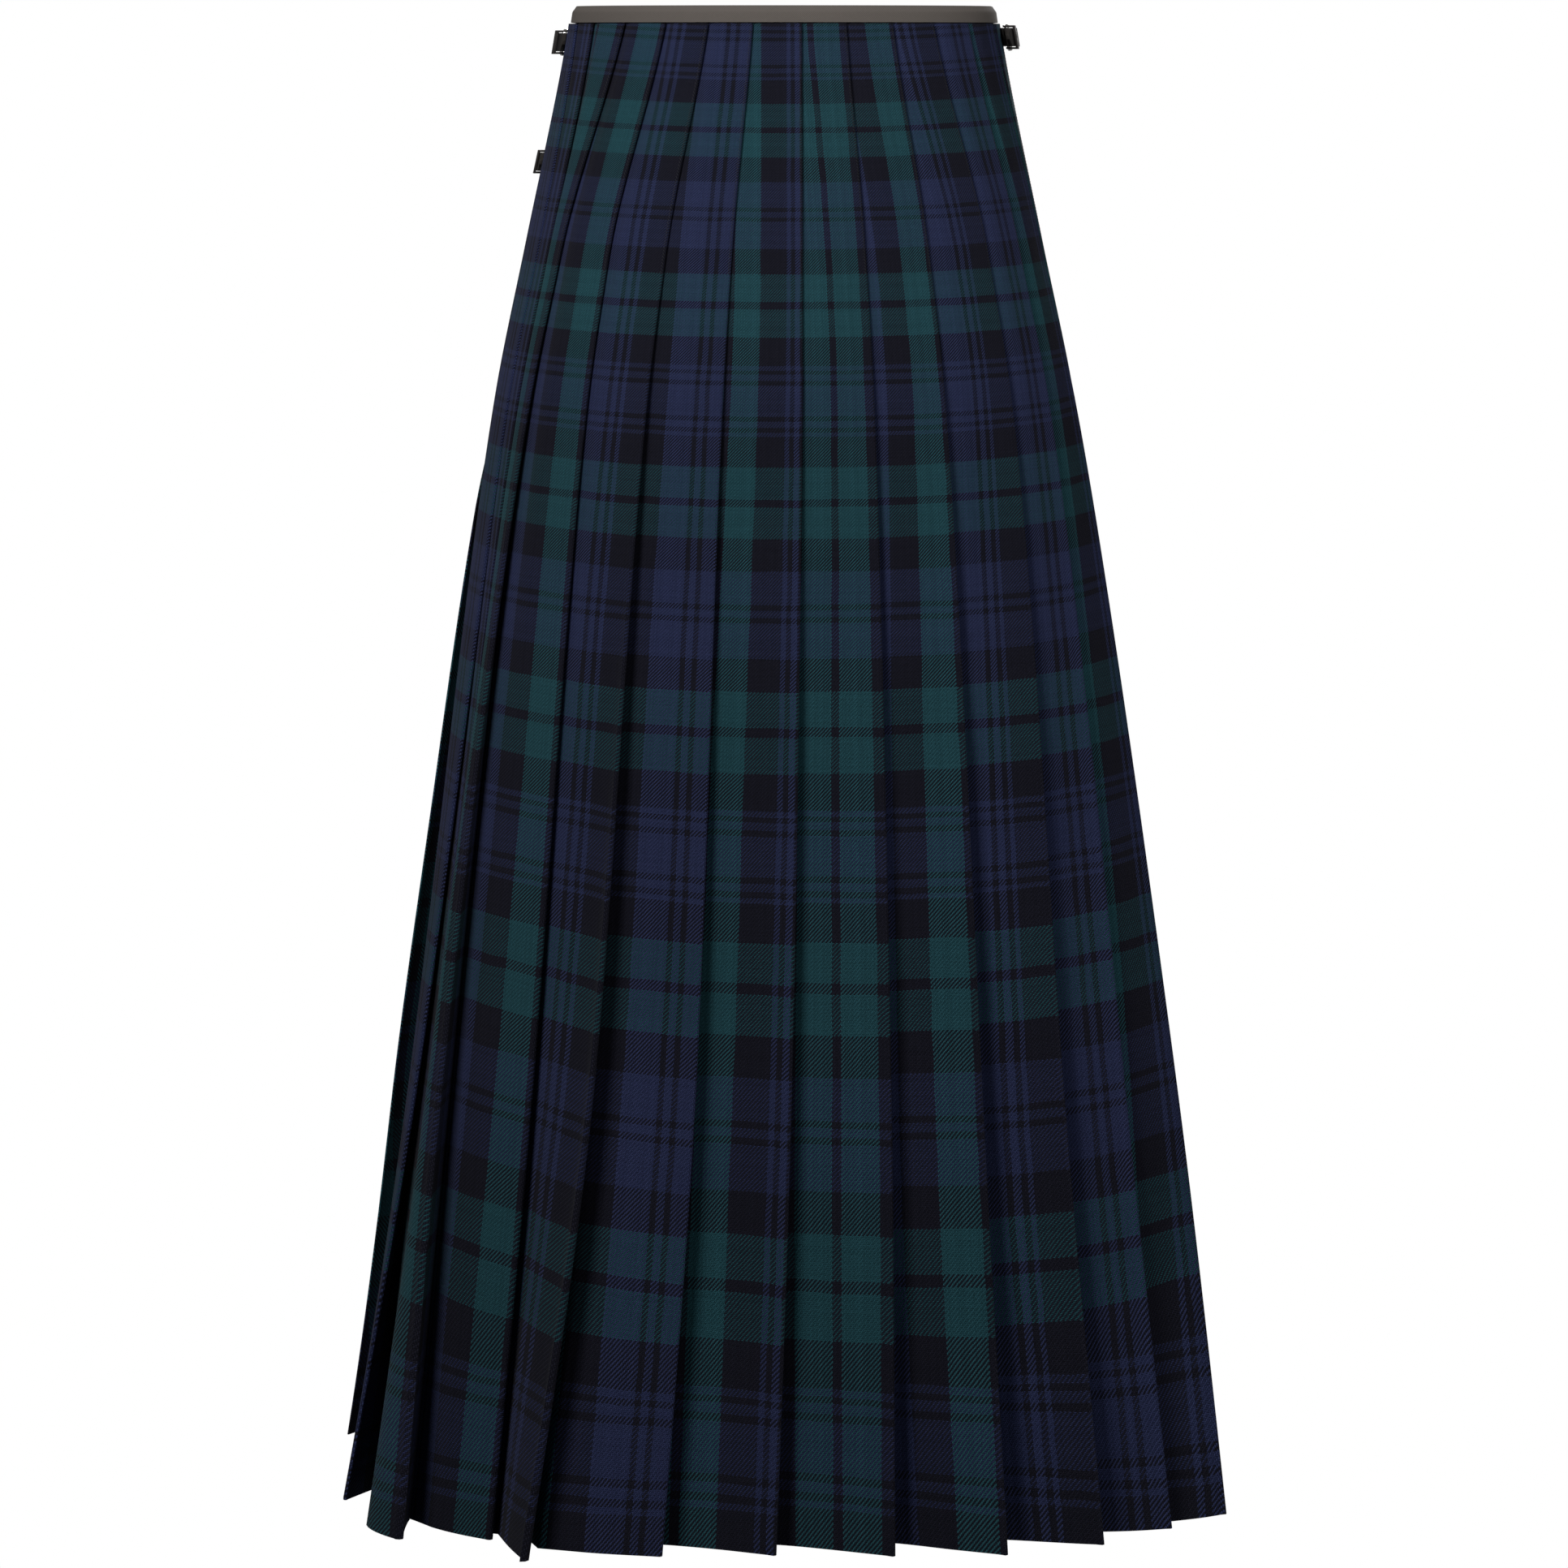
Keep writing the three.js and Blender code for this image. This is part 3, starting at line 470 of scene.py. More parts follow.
def pleated_row(drop):
    """The middle of the cloth along one level, through every pleat."""
    spread = smooth_table(WARP_SPREAD, 1, drop)
    rounds, lifts, warp = [], [], []
    before = None
    for index, fold in enumerate(pleat_places(drop)):
        start, at, under, stand, root, belly, roll = fold
        span = at - start
        edge_yarn = EDGE_YARN + PLEAT_TAKES * (FIRST_PLEAT + index)
        root_yarn = edge_yarn - span / spread

        # From the last pleat's hidden turn to this one's root.
        if before:
            hidden = before.under - TURN
            hidden_yarn = root_yarn - (edge_yarn - PLEAT_TAKES)
            rounds.append(start - hidden * (1 - RUN_IN))
            lifts.append(blend(GROUND, root, RUN_IN ** RUN_IN_LATE))
            warp.append(root_yarn - (1 - RUN_IN) * RUN_IN_YARN * hidden_yarn)

        # Over the panel, which lies pressed at the top and hangs free low down.
        climb_end = 1 - (under + CLIMB_CLEAR) / span
        share = PANEL * (1 - roll / span)
        pressed = blend(GROUND, GROUND + 2 * LAYER, ease(share, CLIMB_FROM, climb_end))
        hanging = blend(root, stand, share ** belly)
        hangs = blend(opened(drop) ** min(1, 2 * belly), 1, share ** 2)
        over = start + share * span
        panel = blend(pressed, hanging, hangs) + soft_bend(index, drop, share)
        rounds.append(over)
        lifts.append(panel)
        warp.append(edge_yarn - (at - over) / spread)

        # Round the folded edge.
        rounds.append(at - roll + roll * np.cos(ROLL))
        lifts.append(stand - roll + roll * np.sin(ROLL))
        warp.append(edge_yarn + np.linspace(-1, 1, len(ROLL)) * roll / spread)

        # Back under the panel, at least a layer below it.
        foot = GROUND + 2 * TURN
        next_root = edge_yarn + PLEAT_TAKES * NEXT_ROOT
        back = blend(at - roll, at - under + TURN, BACK_TURN)
        fall = blend(stand - 2 * roll, foot, BACK_TURN ** BACK_EARLY)
        rounds.append(back)
        lifts.append(np.minimum(fall, np.interp(back, over, panel) - LAYER))
        warp.append(edge_yarn + BACK_TURN * BACK_YARN * (next_root - edge_yarn))

        # Round the hidden turn, down to the ground.
        rounds.append(at - under + TURN * np.array([1, CORNER, CORNER]))
        lifts.append(np.array([foot, foot - CORNER * TURN, GROUND + CORNER * TURN]))
        warp.append(edge_yarn + TURN_YARN * (next_root - edge_yarn))
        before = fold
    rounds.append(np.array([before.at - before.under + TURN, before.at - LAST_TAIL]))
    lifts.append(np.array([GROUND, GROUND]))
    warp.append(warp[-1][-1] + np.array([1.0, before.under / spread]))
    return np.concatenate(rounds), np.concatenate(lifts), np.concatenate(warp)


# Soft bends in the hanging cloth: pleat, drop, how far out, and how tall and wide each is, in
# millimetres and in parts of the pleat's panel.
SOFT_BENDS = [
    (2, 560, 2.2, 190, 0.45), (3, 420, -1.6, 120, 0.5), (4, 690, 2.4, 170, 0.4),
    (4, 330, 1.6, 90, 0.5), (5, 520, -2.2, 150, 0.45), (5, 800, 2.4, 110, 0.4),
    (6, 380, 1.8, 130, 0.5), (6, 730, -2.4, 140, 0.45), (7, 610, 2.4, 160, 0.4),
    (8, 460, -2.0, 130, 0.5), (8, 820, 2.2, 100, 0.4), (9, 560, 2.2, 150, 0.45),
    (9, 300, -1.2, 70, 0.5), (10, 700, 2.4, 150, 0.4), (11, 480, 1.8, 140, 0.5),
    (11, 790, -2.0, 110, 0.4),
]
BEND_RUN = 120  # how far below the fell the bends are whole


def soft_bend(index, drop, share):
    """How far the hand of the cloth bends one pleat's panel in or out."""
    bend = 0 * share
    for pleat, at, out, tall, wide in SOFT_BENDS:
        if pleat == index:
            bend = bend + out * math.exp(-(((drop - at) / tall) ** 2)) * bump(share, 0.5, wide)
    return bend * np.sin(math.pi * share) * ease(drop, FELL, FELL + BEND_RUN)


PLEAT_ROWS = ((TOP, FELL, 22), (FELL, KNEE, 62), (KNEE, HEM, 46))  # from, to, how many

pleat_drops = np.unique(np.concatenate([np.linspace(*rows) for rows in PLEAT_ROWS]))
pleated_back = hang_cloth("pleated_back_cloth", pleat_drops, pleated_row, cloth_wall, no_rise)
pleated_back.data.materials.append(tartan)
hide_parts("pleated_back")
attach(pleated_back, "root")

# ---- The edge stitching ----
# Each fold is whipped to the cloth beneath it from the waist to the fell, in dark thread:
# small slanted stitches that bite over the edge of the fold.

STITCH_EVERY = 0.0018
STITCH_LONG, STITCH_THICK = 0.0020, 0.00040
STITCH_SLANT = math.radians(38)
UNEVEN = (0.8, 1.15)  # the shortest and the longest stitch, in parts of its length
STITCH_INSET, STITCH_SUNK = 0.55, 0.02  # in from the folded edge, and into the cloth
SEWN_DROPS = np.linspace(TOP + 3, FELL + 4, 60)
THREAD_BLACK = (0.010, 0.010, 0.014)


def whip_stitches():
    """Slanted stitches set along an edge, leaning over the way that its 'out' points."""
    tree = bpy.data.node_groups.new("whip_stitches", "GeometryNodeTree")
    face = tree.interface
    face.new_socket("Geometry", in_out="INPUT", socket_type="NodeSocketGeometry")
    for name, kind in (("Spacing", "Float"), ("Length", "Float"), ("Thickness", "Float"),
                       ("Slant", "Float"), ("Seed", "Int"), ("Thread", "Material")):
        face.new_socket(name, in_out="INPUT", socket_type="NodeSocket" + kind)
    face.new_socket("Geometry", in_out="OUTPUT", socket_type="NodeSocketGeometry")
    take = node(tree, "NodeGroupInput").outputs
    curve = node(tree, "GeometryNodeMeshToCurve", {"Mesh": take["Geometry"]}).outputs[0]
    out = node(tree, "GeometryNodeInputNamedAttribute", {"Name": "out"},
               data_type="FLOAT_VECTOR").outputs[0]
    points = node(tree, "GeometryNodeCurveToPoints",
                  {"Curve": curve, "Length": take["Spacing"]}, mode="LENGTH").outputs
    lean = node(tree, "FunctionNodeAxisAngleToRotation",
                {"Axis": (0.0, 0.0, 1.0), "Angle": take["Slant"]}).outputs[0]
    along = node(tree, "FunctionNodeAlignRotationToVector",
                 {"Vector": points["Tangent"]}, axis="X").outputs[0]
    upright = node(tree, "FunctionNodeAlignRotationToVector",
                   {"Rotation": along, "Vector": out}, axis="Z", pivot_axis="X").outputs[0]
    turned = node(tree, "FunctionNodeRotateRotation",
                  {"Rotation": upright, "Rotate By": lean}, rotation_space="LOCAL").outputs[0]
    uneven = node(tree, "FunctionNodeRandomValue",
                  {2: UNEVEN[0], 3: UNEVEN[1], "Seed": take["Seed"]}).outputs[1]
    length = maths(tree, "MULTIPLY", take["Length"], uneven)
    size = node(tree, "ShaderNodeCombineXYZ",
                {0: length, 1: take["Thickness"], 2: take["Thickness"]}).outputs[0]
    bead = node(tree, "GeometryNodeMeshUVSphere",
                {"Segments": 6, "Rings": 4, "Radius": 0.5}).outputs[0]
    laid = node(tree, "GeometryNodeInstanceOnPoints",
                {"Points": points["Points"], "Instance": bead,
                 "Rotation": turned, "Scale": size}).outputs[0]
    whole = node(tree, "GeometryNodeRealizeInstances", {0: laid}).outputs[0]
    thread = node(tree, "GeometryNodeSetMaterial",
                  {"Geometry": whole, "Material": take["Thread"]}).outputs[0]
    node(tree, "NodeGroupOutput", {0: thread})
    return tree


def sewing_thread(name, colour):
    """Spun thread, with painted shade between its plies: fine noise darkens it to half in places.
    """
    material, tree, shader = new_material(name)
    # Painted shade between the plies, laid as fine noise over the colour.
    painted_ply_shade = noise(tree, object_place(tree), Scale=4000.0, Detail=2.0)[0]
    dark = tuple(0.5 * value for value in colour)
    set_inputs(tree, shader, {
        "Base Color": mixed(tree, painted_ply_shade, (*dark, 1), (*colour, 1)),
        "Roughness": 0.7, "Specular IOR Level": 0.3,
    })
    return material


def sewn(name, lines, tree, **sizes):
    """Stitches along lines of (places, outs), as a plain mesh."""
    mesh = bpy.data.meshes.new(name)
    places = np.concatenate([line[0] for line in lines])
    outs = np.concatenate([line[1] for line in lines]).astype(np.float32)
    ends = np.cumsum([len(line[0]) for line in lines])
    edges = [(i, i + 1) for i in range(len(places) - 1) if i + 1 not in ends]
    mesh.from_pydata(places.tolist(), edges, [])
    way_out = mesh.attributes.new("out", "FLOAT_VECTOR", "POINT")
    way_out.data.foreach_set("vector", outs.ravel())
    guide = bpy.data.objects.new(name + "_guide", mesh)
    bpy.context.scene.collection.objects.link(guide)
    sewing = guide.modifiers.new("sewing", "NODES")
    sewing.node_group = tree
    for item in tree.interface.items_tree:
        if item.in_out == "INPUT" and item.name in sizes:
            sewing[item.identifier] = sizes[item.name]
    finished = guide.evaluated_get(bpy.context.evaluated_depsgraph_get())
    made = bpy.data.objects.new(name, bpy.data.meshes.new_from_object(finished))
    bpy.data.objects.remove(guide)
    made.data.shade_smooth()
    bpy.context.scene.collection.objects.link(made)
    return made


def edge_line(index):
    """A line down one pleat's folded edge, to the fell, with the way out of the cloth."""
    places, outs = [], []
    for drop in SEWN_DROPS:
        fold = pleat_places(drop)[index]
        inside, face = np.array([fold.at - STITCH_INSET]), fold.stand + CLOTH / 2 - STITCH_SUNK
        here, beyond = on_figure(inside, drop, face)[0], on_figure(inside, drop, face + 1)[0]
        places.append(here)
        outs.append((beyond - here) * 1000)
    return np.array(places), np.array(outs)


black_thread = sewing_thread("black_thread", THREAD_BLACK)
pleat_edges = [edge_line(index) for index in range(len(PLEATS))]
edge_stitches = sewn("edge_stitches", pleat_edges, whip_stitches(), Spacing=STITCH_EVERY,
                     Length=STITCH_LONG, Thickness=STITCH_THICK, Slant=STITCH_SLANT, Seed=3,
                     Thread=black_thread)
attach(edge_stitches, "root")

# ---- The under apron ----
# The plain end of the tartan that wraps over the front from the wearer's left, beneath the
# outer apron. It is joined to the pleated back at the left hip and its other edge hangs free.

UNDER_APRON_END = 0.62
UNDER_APRON_YARN = 60  # the sett unit at the seam
APRON_ROWS, APRON_COLUMNS = 112, 110
SEAM_GAP = 0.3
SEAM_LAP = 8  # how far the apron runs on under the pleated back, below the waist
SEAM_EASE = 30  # it dips under the pleated back from this far before the seam
DIP_FROM, DIP_TO = 12, 60  # the drops between which it dips a layer down
LAP_FROM, LAP_TO = 50, 100  # and those between which the lap then widens
HIP_OUT, HIP_LATE, HIP_WIDE = 22, 2.5, 0.1  # lift at the hem, power of its growth, width

# Long shallow folds that both aprons share down the front: share of the half round, how far
# out at the hem in millimetres, width in millimetres, and the drop where each starts.
APRON_FOLDS = [
    (0.72, 5.0, 34, 240), (0.83, -4.0, 30, 320), (0.93, 6.0, 40, 280),
    (1.04, -4.5, 34, 380), (1.15, 5.5, 38, 300), (1.27, -3.5, 30, 340),
]
FOLD_RUN = 150  # how far below the hem the folds would be whole


def hip_swing(share, drop):
    """The left hip stands out towards the hem, where the stiff aprons swing away."""
    return (HIP_OUT - GROUND) * opened(drop) ** HIP_LATE * bump(share, LEFT_SEAM, HIP_WIDE)


def apron_folds(share, drop):
    """How far the long folds lift the front of the aprons."""
    lift = 0 * share
    for at, out, wide, start in APRON_FOLDS:
        away = (share - at) * half_round(drop) / wide
        lift = lift + out * ease(drop, start, HEM + FOLD_RUN) * np.exp(-(away**2))
    return lift


def under_apron_row(drop):
    """From the hidden free edge round the front to the left seam, and on under it."""
    half = half_round(drop)
    share = np.linspace(UNDER_APRON_END - 2, LEFT_SEAM - SEAM_GAP / half, APRON_COLUMNS)
    lifts = GROUND + hip_swing(share, drop) + apron_folds(share + 2, drop)
    seam = pleat_places(drop)[0]
    sewn_under = blend(GROUND, seam.root, opened(drop)) - LAYER
    dips = ease(drop, DIP_FROM, DIP_TO) * ease(share * half, seam.start - SEAM_EASE, seam.start)
    lifts = blend(lifts, sewn_under, dips)
    lap = ease(drop, LAP_FROM, LAP_TO) * SEAM_LAP
    rounds = np.append(share * half, seam.start - SEAM_GAP / 2 + lap)
    spread = smooth_table(WARP_SPREAD, 1, drop)
    warp = UNDER_APRON_YARN + (rounds - rounds[-2]) / spread
    return rounds, np.append(lifts, lifts[-1]), warp


apron_drops = np.linspace(TOP, HEM, APRON_ROWS)
under_apron = hang_cloth("under_apron_cloth", apron_drops, under_apron_row, cloth_wall, no_rise)
under_apron.data.materials.append(tartan)
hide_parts("under_apron")
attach(under_apron, "root")

# ---- The outer apron ----
# The flat face of the skirt. It comes out from under the last pleat on the wearer's right,
# crosses the front over the under apron, and its free edge hangs at the left hip.

APRON_GAP = 1.2  # between the two aprons
TAPE_WALL, TAPE_CLEAR = 1.6, 0.75
OVERLAP_START = 0.585
STEP_CLEAR, START_CLEAR = 0.01, 0.003  # past the last fold, in parts of the half round
STEP_COLUMNS = 10
CLOSER = 0.9  # the power that sets the columns closer towards the free edge
EDGE_AT_WAIST, EDGE_AT_HEM = -0.62, -0.565
EDGE_WIDE = 95  # how far in from the free edge its lift and its rise reach
EDGE_RISE = 17  # how far the corner of the hem is drawn up
OUTER_APRON_YARN = EDGE_YARN + PLEAT_TAKES * 5.5  # half a pleat past the last folded edge

# How far the free edge stands off the hip at each drop.
EDGE_LIFTS = np.array([(95, 0), (180, 4.5), (290, 15.5), (465, 20.7), (630, 24), (760, 21.7),
                       (904, 18.5)])


def outer_apron_lift(drop):
    """It lies over the under apron, and at the waist over the tape too."""
    over_tape = TAPE_WALL + 2 * TAPE_CLEAR - APRON_GAP
    return GROUND + CLOTH + APRON_GAP + over_tape * (1 - ease(drop, DIP_FROM, DIP_TO))


def outer_apron_edge(drop):
    return 2 + blend(EDGE_AT_WAIST, EDGE_AT_HEM, np.clip(drop / HEM, 0, 1))


def near_edge(rounds, drop):
    """1 at the free edge, and 0 away from it."""
    return 1 - ease(outer_apron_edge(drop) * half_round(drop) - rounds, 0, EDGE_WIDE)


def step_out(share, drop):
    """How far the cloth has stepped out from under the last pleat over the under apron."""
    last_fold = fold_edge(PLEATS[-1], drop) / half_round(drop)
    return ease(share, last_fold + STEP_CLEAR, OVERLAP_START)


def outer_apron_row(drop):
    """From under the last pleat round the front to the free edge at the left hip."""
    half = half_round(drop)
    last_fold = fold_edge(PLEATS[-1], drop)
    steps = np.linspace(0, 1, STEP_COLUMNS)
    start = blend(last_fold / half + START_CLEAR, OVERLAP_START, steps[:-1])
    columns = np.linspace(0, 1, APRON_COLUMNS) ** CLOSER
    rest = blend(OVERLAP_START, outer_apron_edge(drop), columns)
    start_lift = blend(GROUND, outer_apron_lift(drop), step_out(start, drop))
    flare = smooth_table(EDGE_LIFTS, 1, np.clip(drop, EDGE_LIFTS[0, 0], HEM))
    flare = flare * near_edge(rest * half, drop)
    rest_lift = (outer_apron_lift(drop) + hip_swing(rest - 2, drop) + flare
                 + apron_folds(rest, drop))
    rounds = np.concatenate([[last_fold - LAST_TAIL + SEAM_GAP], start * half, rest * half])
    lifts = np.concatenate([[GROUND], start_lift, rest_lift])
    warp = OUTER_APRON_YARN + (rounds - last_fold) / smooth_table(WARP_SPREAD, 1, drop)
    return rounds, lifts, warp


def outer_apron_rise(rounds, drop):
    """The hem is drawn up towards the free edge."""
    return EDGE_RISE * (max(drop, 0) / HEM) ** 3 * near_edge(rounds, drop)


outer_apron = hang_cloth("outer_apron_cloth", apron_drops, outer_apron_row, cloth_wall,
                         outer_apron_rise)
outer_apron.data.materials.append(tartan)
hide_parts("outer_apron")
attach(outer_apron, "root")

# ---- The waist tape ----
# Taupe cotton twill tape, one strip sewn inside the top of the whole wrap so that it stands
# a centimetre above the tartan. It binds the raw top edges and takes the straps' pull.

TAPE_TOP, TAPE_BOTTOM = -20.4, 8
TAPE_ROUND = 1.1  # how far down its top edge is rounded
TAPE_THIN = 0.3  # how thin it gets there, in parts of its wall
TAPE_COLUMNS = 420
TAPE_SWELL, SWELL_FROM, SWELL_TO = 3.3, -10.6, -10.1  # it swells over the tartan's top edge
TAPE_CURL, CURL_FROM, CURL_TO = 1.6, -20, -16.5  # and its own top curls in again
TAPE_RIB = 1.15  # width of a rib, in millimetres
# The tape's colour runs between these with the painted shade of its ribs, its fibres and slow
# patches.
TAPE_DARK, TAPE_LIGHT = (0.050, 0.0435, 0.039, 1), (0.112, 0.098, 0.087, 1)


def tape_row(drop):
    """From the under apron's edge round the back and over both aprons."""
    share = np.linspace(UNDER_APRON_END - 2, outer_apron_edge(0), TAPE_COLUMNS)
    inside = -TAPE_CLEAR - TAPE_WALL / 2
    over = CLOTH + TAPE_CLEAR + TAPE_WALL / 2
    swell = (TAPE_SWELL * (1 - ease(drop, SWELL_FROM, SWELL_TO))
             - TAPE_CURL * (1 - ease(drop, CURL_FROM, CURL_TO)))
    lifts = blend(inside, over, step_out(share, TOP)) + swell
    return share * half_round(drop), lifts, share * half_round(0)


def tape_wall(drop):
    """The tape is doubled over its top edge, which is round."""
    from_top = np.clip((drop - TAPE_TOP) / TAPE_ROUND, 0, 1)
    return TAPE_WALL * max(TAPE_THIN, math.sqrt(1 - (1 - from_top) ** 2))


def cotton_twill_tape():
    """Slanting ribs painted into the colour as shade and highlight, with fibres and slow patches in
    the colour.
    """
    material, tree, shader = new_material("cotton_twill_tape")
    weave = node(tree, "ShaderNodeUVMap", uv_map="weave").outputs[0]
    place = object_place(tree)
    along = node(tree, "ShaderNodeSeparateXYZ", {0: weave}).outputs[0]
    up = maths(tree, "MULTIPLY", node(tree, "ShaderNodeSeparateXYZ", {0: place}).outputs[2], 1000.0)
    climb = maths(tree, "ADD", maths(tree, "DIVIDE", along, TAPE_RIB),
                  maths(tree, "DIVIDE", up, -TAPE_RIB))
    rib = maths(tree, "PINGPONG", climb, 0.5)
    fibre = noise(tree, place, Scale=1800.0, Detail=3.0)[0]
    patch = noise(tree, place, Scale=30.0, Detail=3.0)[0]
    # The tone mixes painted shade and highlight of the ribs with fibres and slow patches.
    tone_and_painted_shade = maths(tree, "ADD", maths(tree, "MULTIPLY", rib, 1.1),
                 maths(tree, "MULTIPLY", fibre, 0.35))
    tone_and_painted_shade = maths(tree, "ADD", tone_and_painted_shade, maths(tree, "MULTIPLY", patch, 0.2))
    high = maths(tree, "ADD", rib, maths(tree, "MULTIPLY", fibre, 0.4))
    set_inputs(tree, shader, {
        "Base Color": mixed(tree, tone_and_painted_shade, TAPE_DARK, TAPE_LIGHT),
        "Normal": relief(tree, high, Strength=0.4, Distance=0.0003),
        "Roughness": 0.85, "Specular IOR Level": 0.25,
    })
    return material


# Rows close together round the top edge, at the curl and where the tape leaves the tartan.
tape_drops = np.concatenate([TAPE_TOP + TAPE_ROUND * np.array([0, 0.06, 0.18, 0.4, 0.7, 1]),
                             np.array([-18.6, -17.8, -17, -16.2, -14, -12,
                                       SWELL_FROM, -10.45, -10.3, SWELL_TO,
                                       -8, -4, 0, 4, TAPE_BOTTOM])])
waist_tape = hang_cloth("waist_tape", tape_drops, tape_row, tape_wall, no_rise)
waist_tape.data.materials.append(cotton_twill_tape())
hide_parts("waistband")
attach(waist_tape, "root")

# ---- The straps, tabs and keepers ----
# Black bridle leather, 11 mm wide. Each strap is sewn to the outer apron and runs through
# its buckle under a keeper. The tab folds round the buckle's bar and is sewn to the skirt.

FASTENINGS = ("waist_strap_left", "waist_strap_right", "hip_strap_left")
STRAP_EDGE, SMALL_EDGE = 0.00035, 0.00025  # how far the cut edges are rubbed round
LEATHER_DARK, LEATHER_LIGHT = (0.0045, 0.0042, 0.0045, 1), (0.011, 0.010, 0.0105, 1)
LEATHER_WORN = (0.05, 0.043, 0.038, 1)
WEAR_FROM, WEAR_GROWTH, WEAR_SOFT = 0.52, 6.0, 0.05  # how sharp an edge is before it wears
JOIN_WITHIN = 2e-6
NEARLY_FLAT, HARD_EDGE, SHARP_EDGE = (math.radians(angle) for angle in (2, 38, 40))


def black_leather():
    """Fine grain and creases, dyed black and rubbed paler along its edges."""
    material, tree, shader = new_material("black_leather")
    place = object_place(tree)
    grain = node(tree, "ShaderNodeTexVoronoi", {"Vector": place, "Scale": 1900.0},
                 feature="SMOOTH_F1").outputs[0]
    crease = noise(tree, place, Scale=260.0, Detail=4.0)[0]
    corner = node(tree, "ShaderNodeNewGeometry").outputs["Pointiness"]
    wear = maths(tree, "MULTIPLY", maths(tree, "SUBTRACT", corner, WEAR_FROM), WEAR_GROWTH)
    wear = maths(tree, "SMOOTH_MAX", wear, 0.0, WEAR_SOFT)
    dyed = mixed(tree, crease, LEATHER_DARK, LEATHER_LIGHT)
    high = maths(tree, "ADD", maths(tree, "MULTIPLY", grain, 0.6), crease)
    set_inputs(tree, shader, {
        "Base Color": mixed(tree, wear, dyed, LEATHER_WORN),
        "Normal": relief(tree, high, Strength=0.35, Distance=0.0002),
        "Roughness": maths(tree, "MULTIPLY_ADD", crease, 0.3, 0.36),
        "Specular IOR Level": 0.12,
    })
    return material


def finished_copy(source, name, edge, segments):
    """A copy of a solid with its loose triangles joined and its hard edges rounded."""
    made = bpy.data.objects.new(name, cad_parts[source].data.copy())
    bpy.context.scene.collection.objects.link(made)
    made.data.materials.clear()
    shape = bmesh.new()
    shape.from_mesh(made.data)
    bmesh.ops.remove_doubles(shape, verts=shape.verts, dist=JOIN_WITHIN)
    bmesh.ops.dissolve_limit(shape, angle_limit=NEARLY_FLAT, verts=shape.verts,
                             edges=shape.edges)
    hard = [e for e in shape.edges if e.is_manifold and e.calc_face_angle() > HARD_EDGE]
    bmesh.ops.bevel(shape, geom=hard, offset=edge, segments=segments, profile=0.5,
                    affect="EDGES", clamp_overlap=True)
    shape.to_mesh(made.data)
    shape.free()
    made.data.shade_smooth()
    made.data.set_sharp_from_angle(angle=SHARP_EDGE)
    return made


leather = black_leather()
for fastening in FASTENINGS:
    for part, edge in (("", STRAP_EDGE), ("_tab", SMALL_EDGE), ("_keeper", SMALL_EDGE)):
        piece = finished_copy(fastening + part, fastening + part + "_leather", edge, 2)
        piece.data.materials.append(leather)
        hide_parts(fastening + part)
        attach(piece, "root")

# ---- The buckles ----
# Cast steel, nickel plated and polished: a rounded frame with a plain prong that leans on
# its front bar.

CAST_EDGE = 0.0003
STEEL_BRIGHT, STEEL_DULL = (0.86, 0.84, 0.80, 1), (0.66, 0.65, 0.62, 1)


def plated_steel():
    """Bright plate with a little tarnish and fine scratches."""
    material, tree, shader = new_material("plated_steel")
    place = object_place(tree)
    tarnish = noise(tree, place, Scale=240.0, Detail=4.0)[0]
    scratch = noise(tree, place, Scale=2600.0, Detail=2.0)[0]
    set_inputs(tree, shader, {
        "Base Color": mixed(tree, tarnish, STEEL_BRIGHT, STEEL_DULL),
        "Normal": relief(tree, scratch, Strength=0.08, Distance=0.0001),
        "Roughness": maths(tree, "MULTIPLY_ADD", tarnish, 0.22, 0.10),
        "Metallic": 1.0,
    })
    return material


steel = plated_steel()
for fastening in FASTENINGS:
    for part in ("_buckle", "_prong"):
        piece = finished_copy(fastening + part, fastening + part + "_steel", CAST_EDGE, 3)
        piece.data.materials.append(steel)
        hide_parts(fastening + part)
        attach(piece, "root")

# ---- The floor and the light ----
# A white floor that runs on into a white room. The key lamp stands high on the left, so that
# each fold shades the root of the next. One lamp fills from the right, a weak one from the
# left, and the last lights the aprons from in front of the wearer.

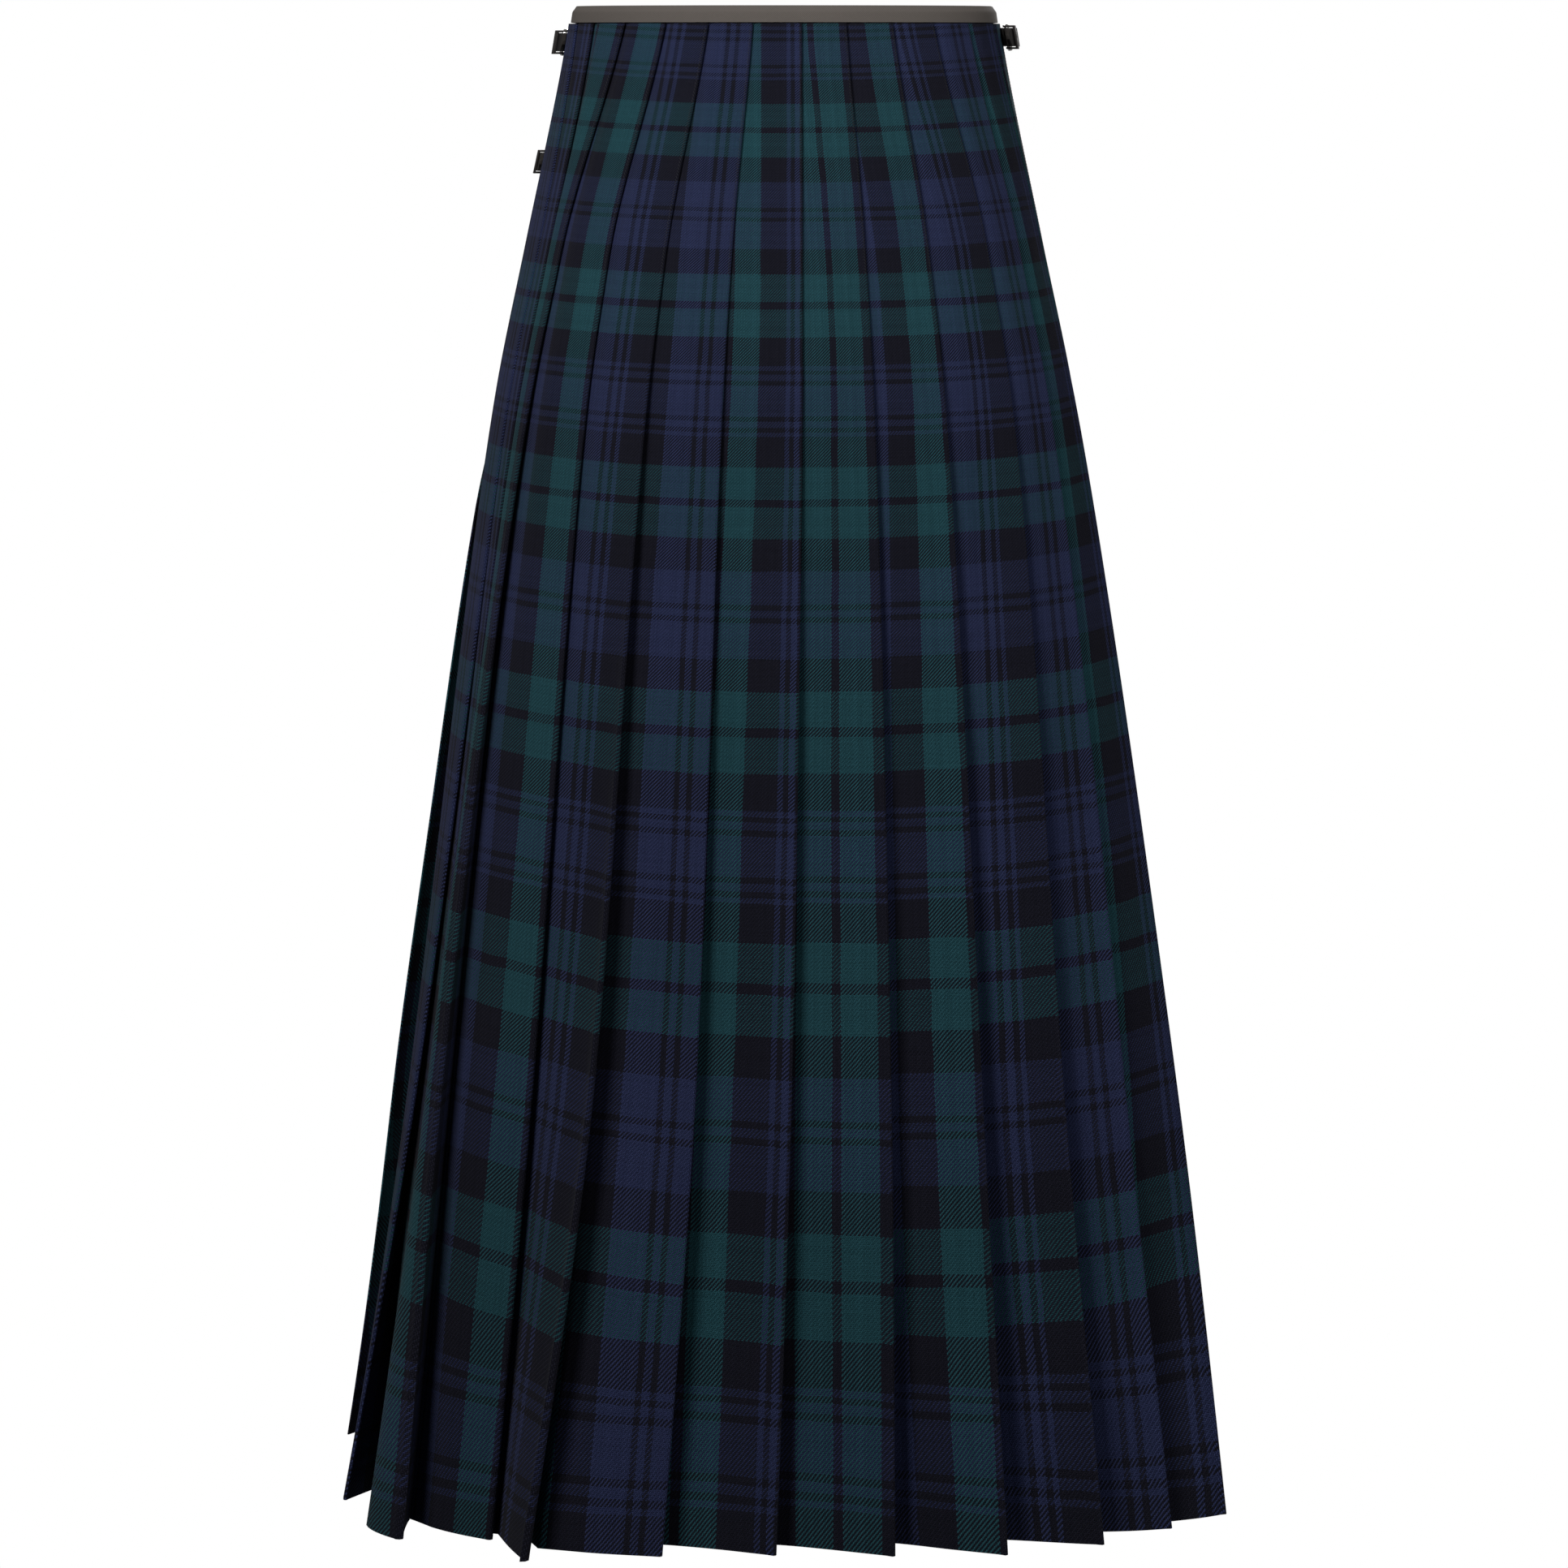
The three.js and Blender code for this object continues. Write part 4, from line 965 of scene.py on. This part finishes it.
FLOOR_REACH, FLOOR_LEVEL = 9, -1.06
FLOOR_LIGHT, ROOM_LIGHT = 0.05, 0.06  # how strongly each lights the skirt, to 1 for white
MIRRORED = 0.22  # how much of its white metal mirrors
LAMPS = [  # name, place, what it points at, width and power in watts
    ("key", (-0.8, -1.6, 1.25), (0, 0, -0.1), 0.6, 50),
    ("fill", (2.1, -1.5, 0.7), (0, 0, -0.2), 1.2, 29),
    ("left_lamp", (-2.3, -0.55, 0.3), (0, 0, -0.4), 0.7, 2),
    ("apron_lamp", (0.5, 3.0, 0.7), (0, 0, -0.4), 1.6, 60),
]


def white_to_the_eye(tree, kind, lit, end):
    """White where it is seen, less so in metal, and dim where it lights the skirt."""
    ray = node(tree, "ShaderNodeLightPath").outputs
    seen = maths(tree, "MULTIPLY_ADD", ray["Is Glossy Ray"], MIRRORED, ray["Is Camera Ray"])
    glow = node(tree, kind, {"Color": (1, 1, 1, 1), "Strength": between(tree, seen, lit, 1.0)})
    tree.links.new(glow.outputs[0], tree.nodes[end].inputs["Surface"])


floor_mesh = bpy.data.meshes.new("floor")
corners = [(-1, -1), (1, -1), (1, 1), (-1, 1)]
floor_mesh.from_pydata([(x * FLOOR_REACH, y * FLOOR_REACH, FLOOR_LEVEL) for x, y in corners],
                       [], [(0, 1, 2, 3)])
floor = bpy.data.objects.new("floor", floor_mesh)
bpy.context.scene.collection.objects.link(floor)
white_floor = bpy.data.materials.new("white_floor")
white_floor.use_nodes = True
white_to_the_eye(white_floor.node_tree, "ShaderNodeEmission", FLOOR_LIGHT, "Material Output")
floor_mesh.materials.append(white_floor)

room = bpy.data.worlds.new("white_room")
room.use_nodes = True
white_to_the_eye(room.node_tree, "ShaderNodeBackground", ROOM_LIGHT, "World Output")
bpy.context.scene.world = room

for name, place, aim, size, power in LAMPS:
    lamp = bpy.data.objects.new(name, bpy.data.lights.new(name, "AREA"))
    lamp.data.size = size
    lamp.data.energy = power
    lamp.location = place
    lamp.rotation_euler = (Vector(aim) - Vector(place)).to_track_quat("-Z", "Y").to_euler()
    bpy.context.scene.collection.objects.link(lamp)
bpy.context.scene.view_settings.view_transform = "Standard"
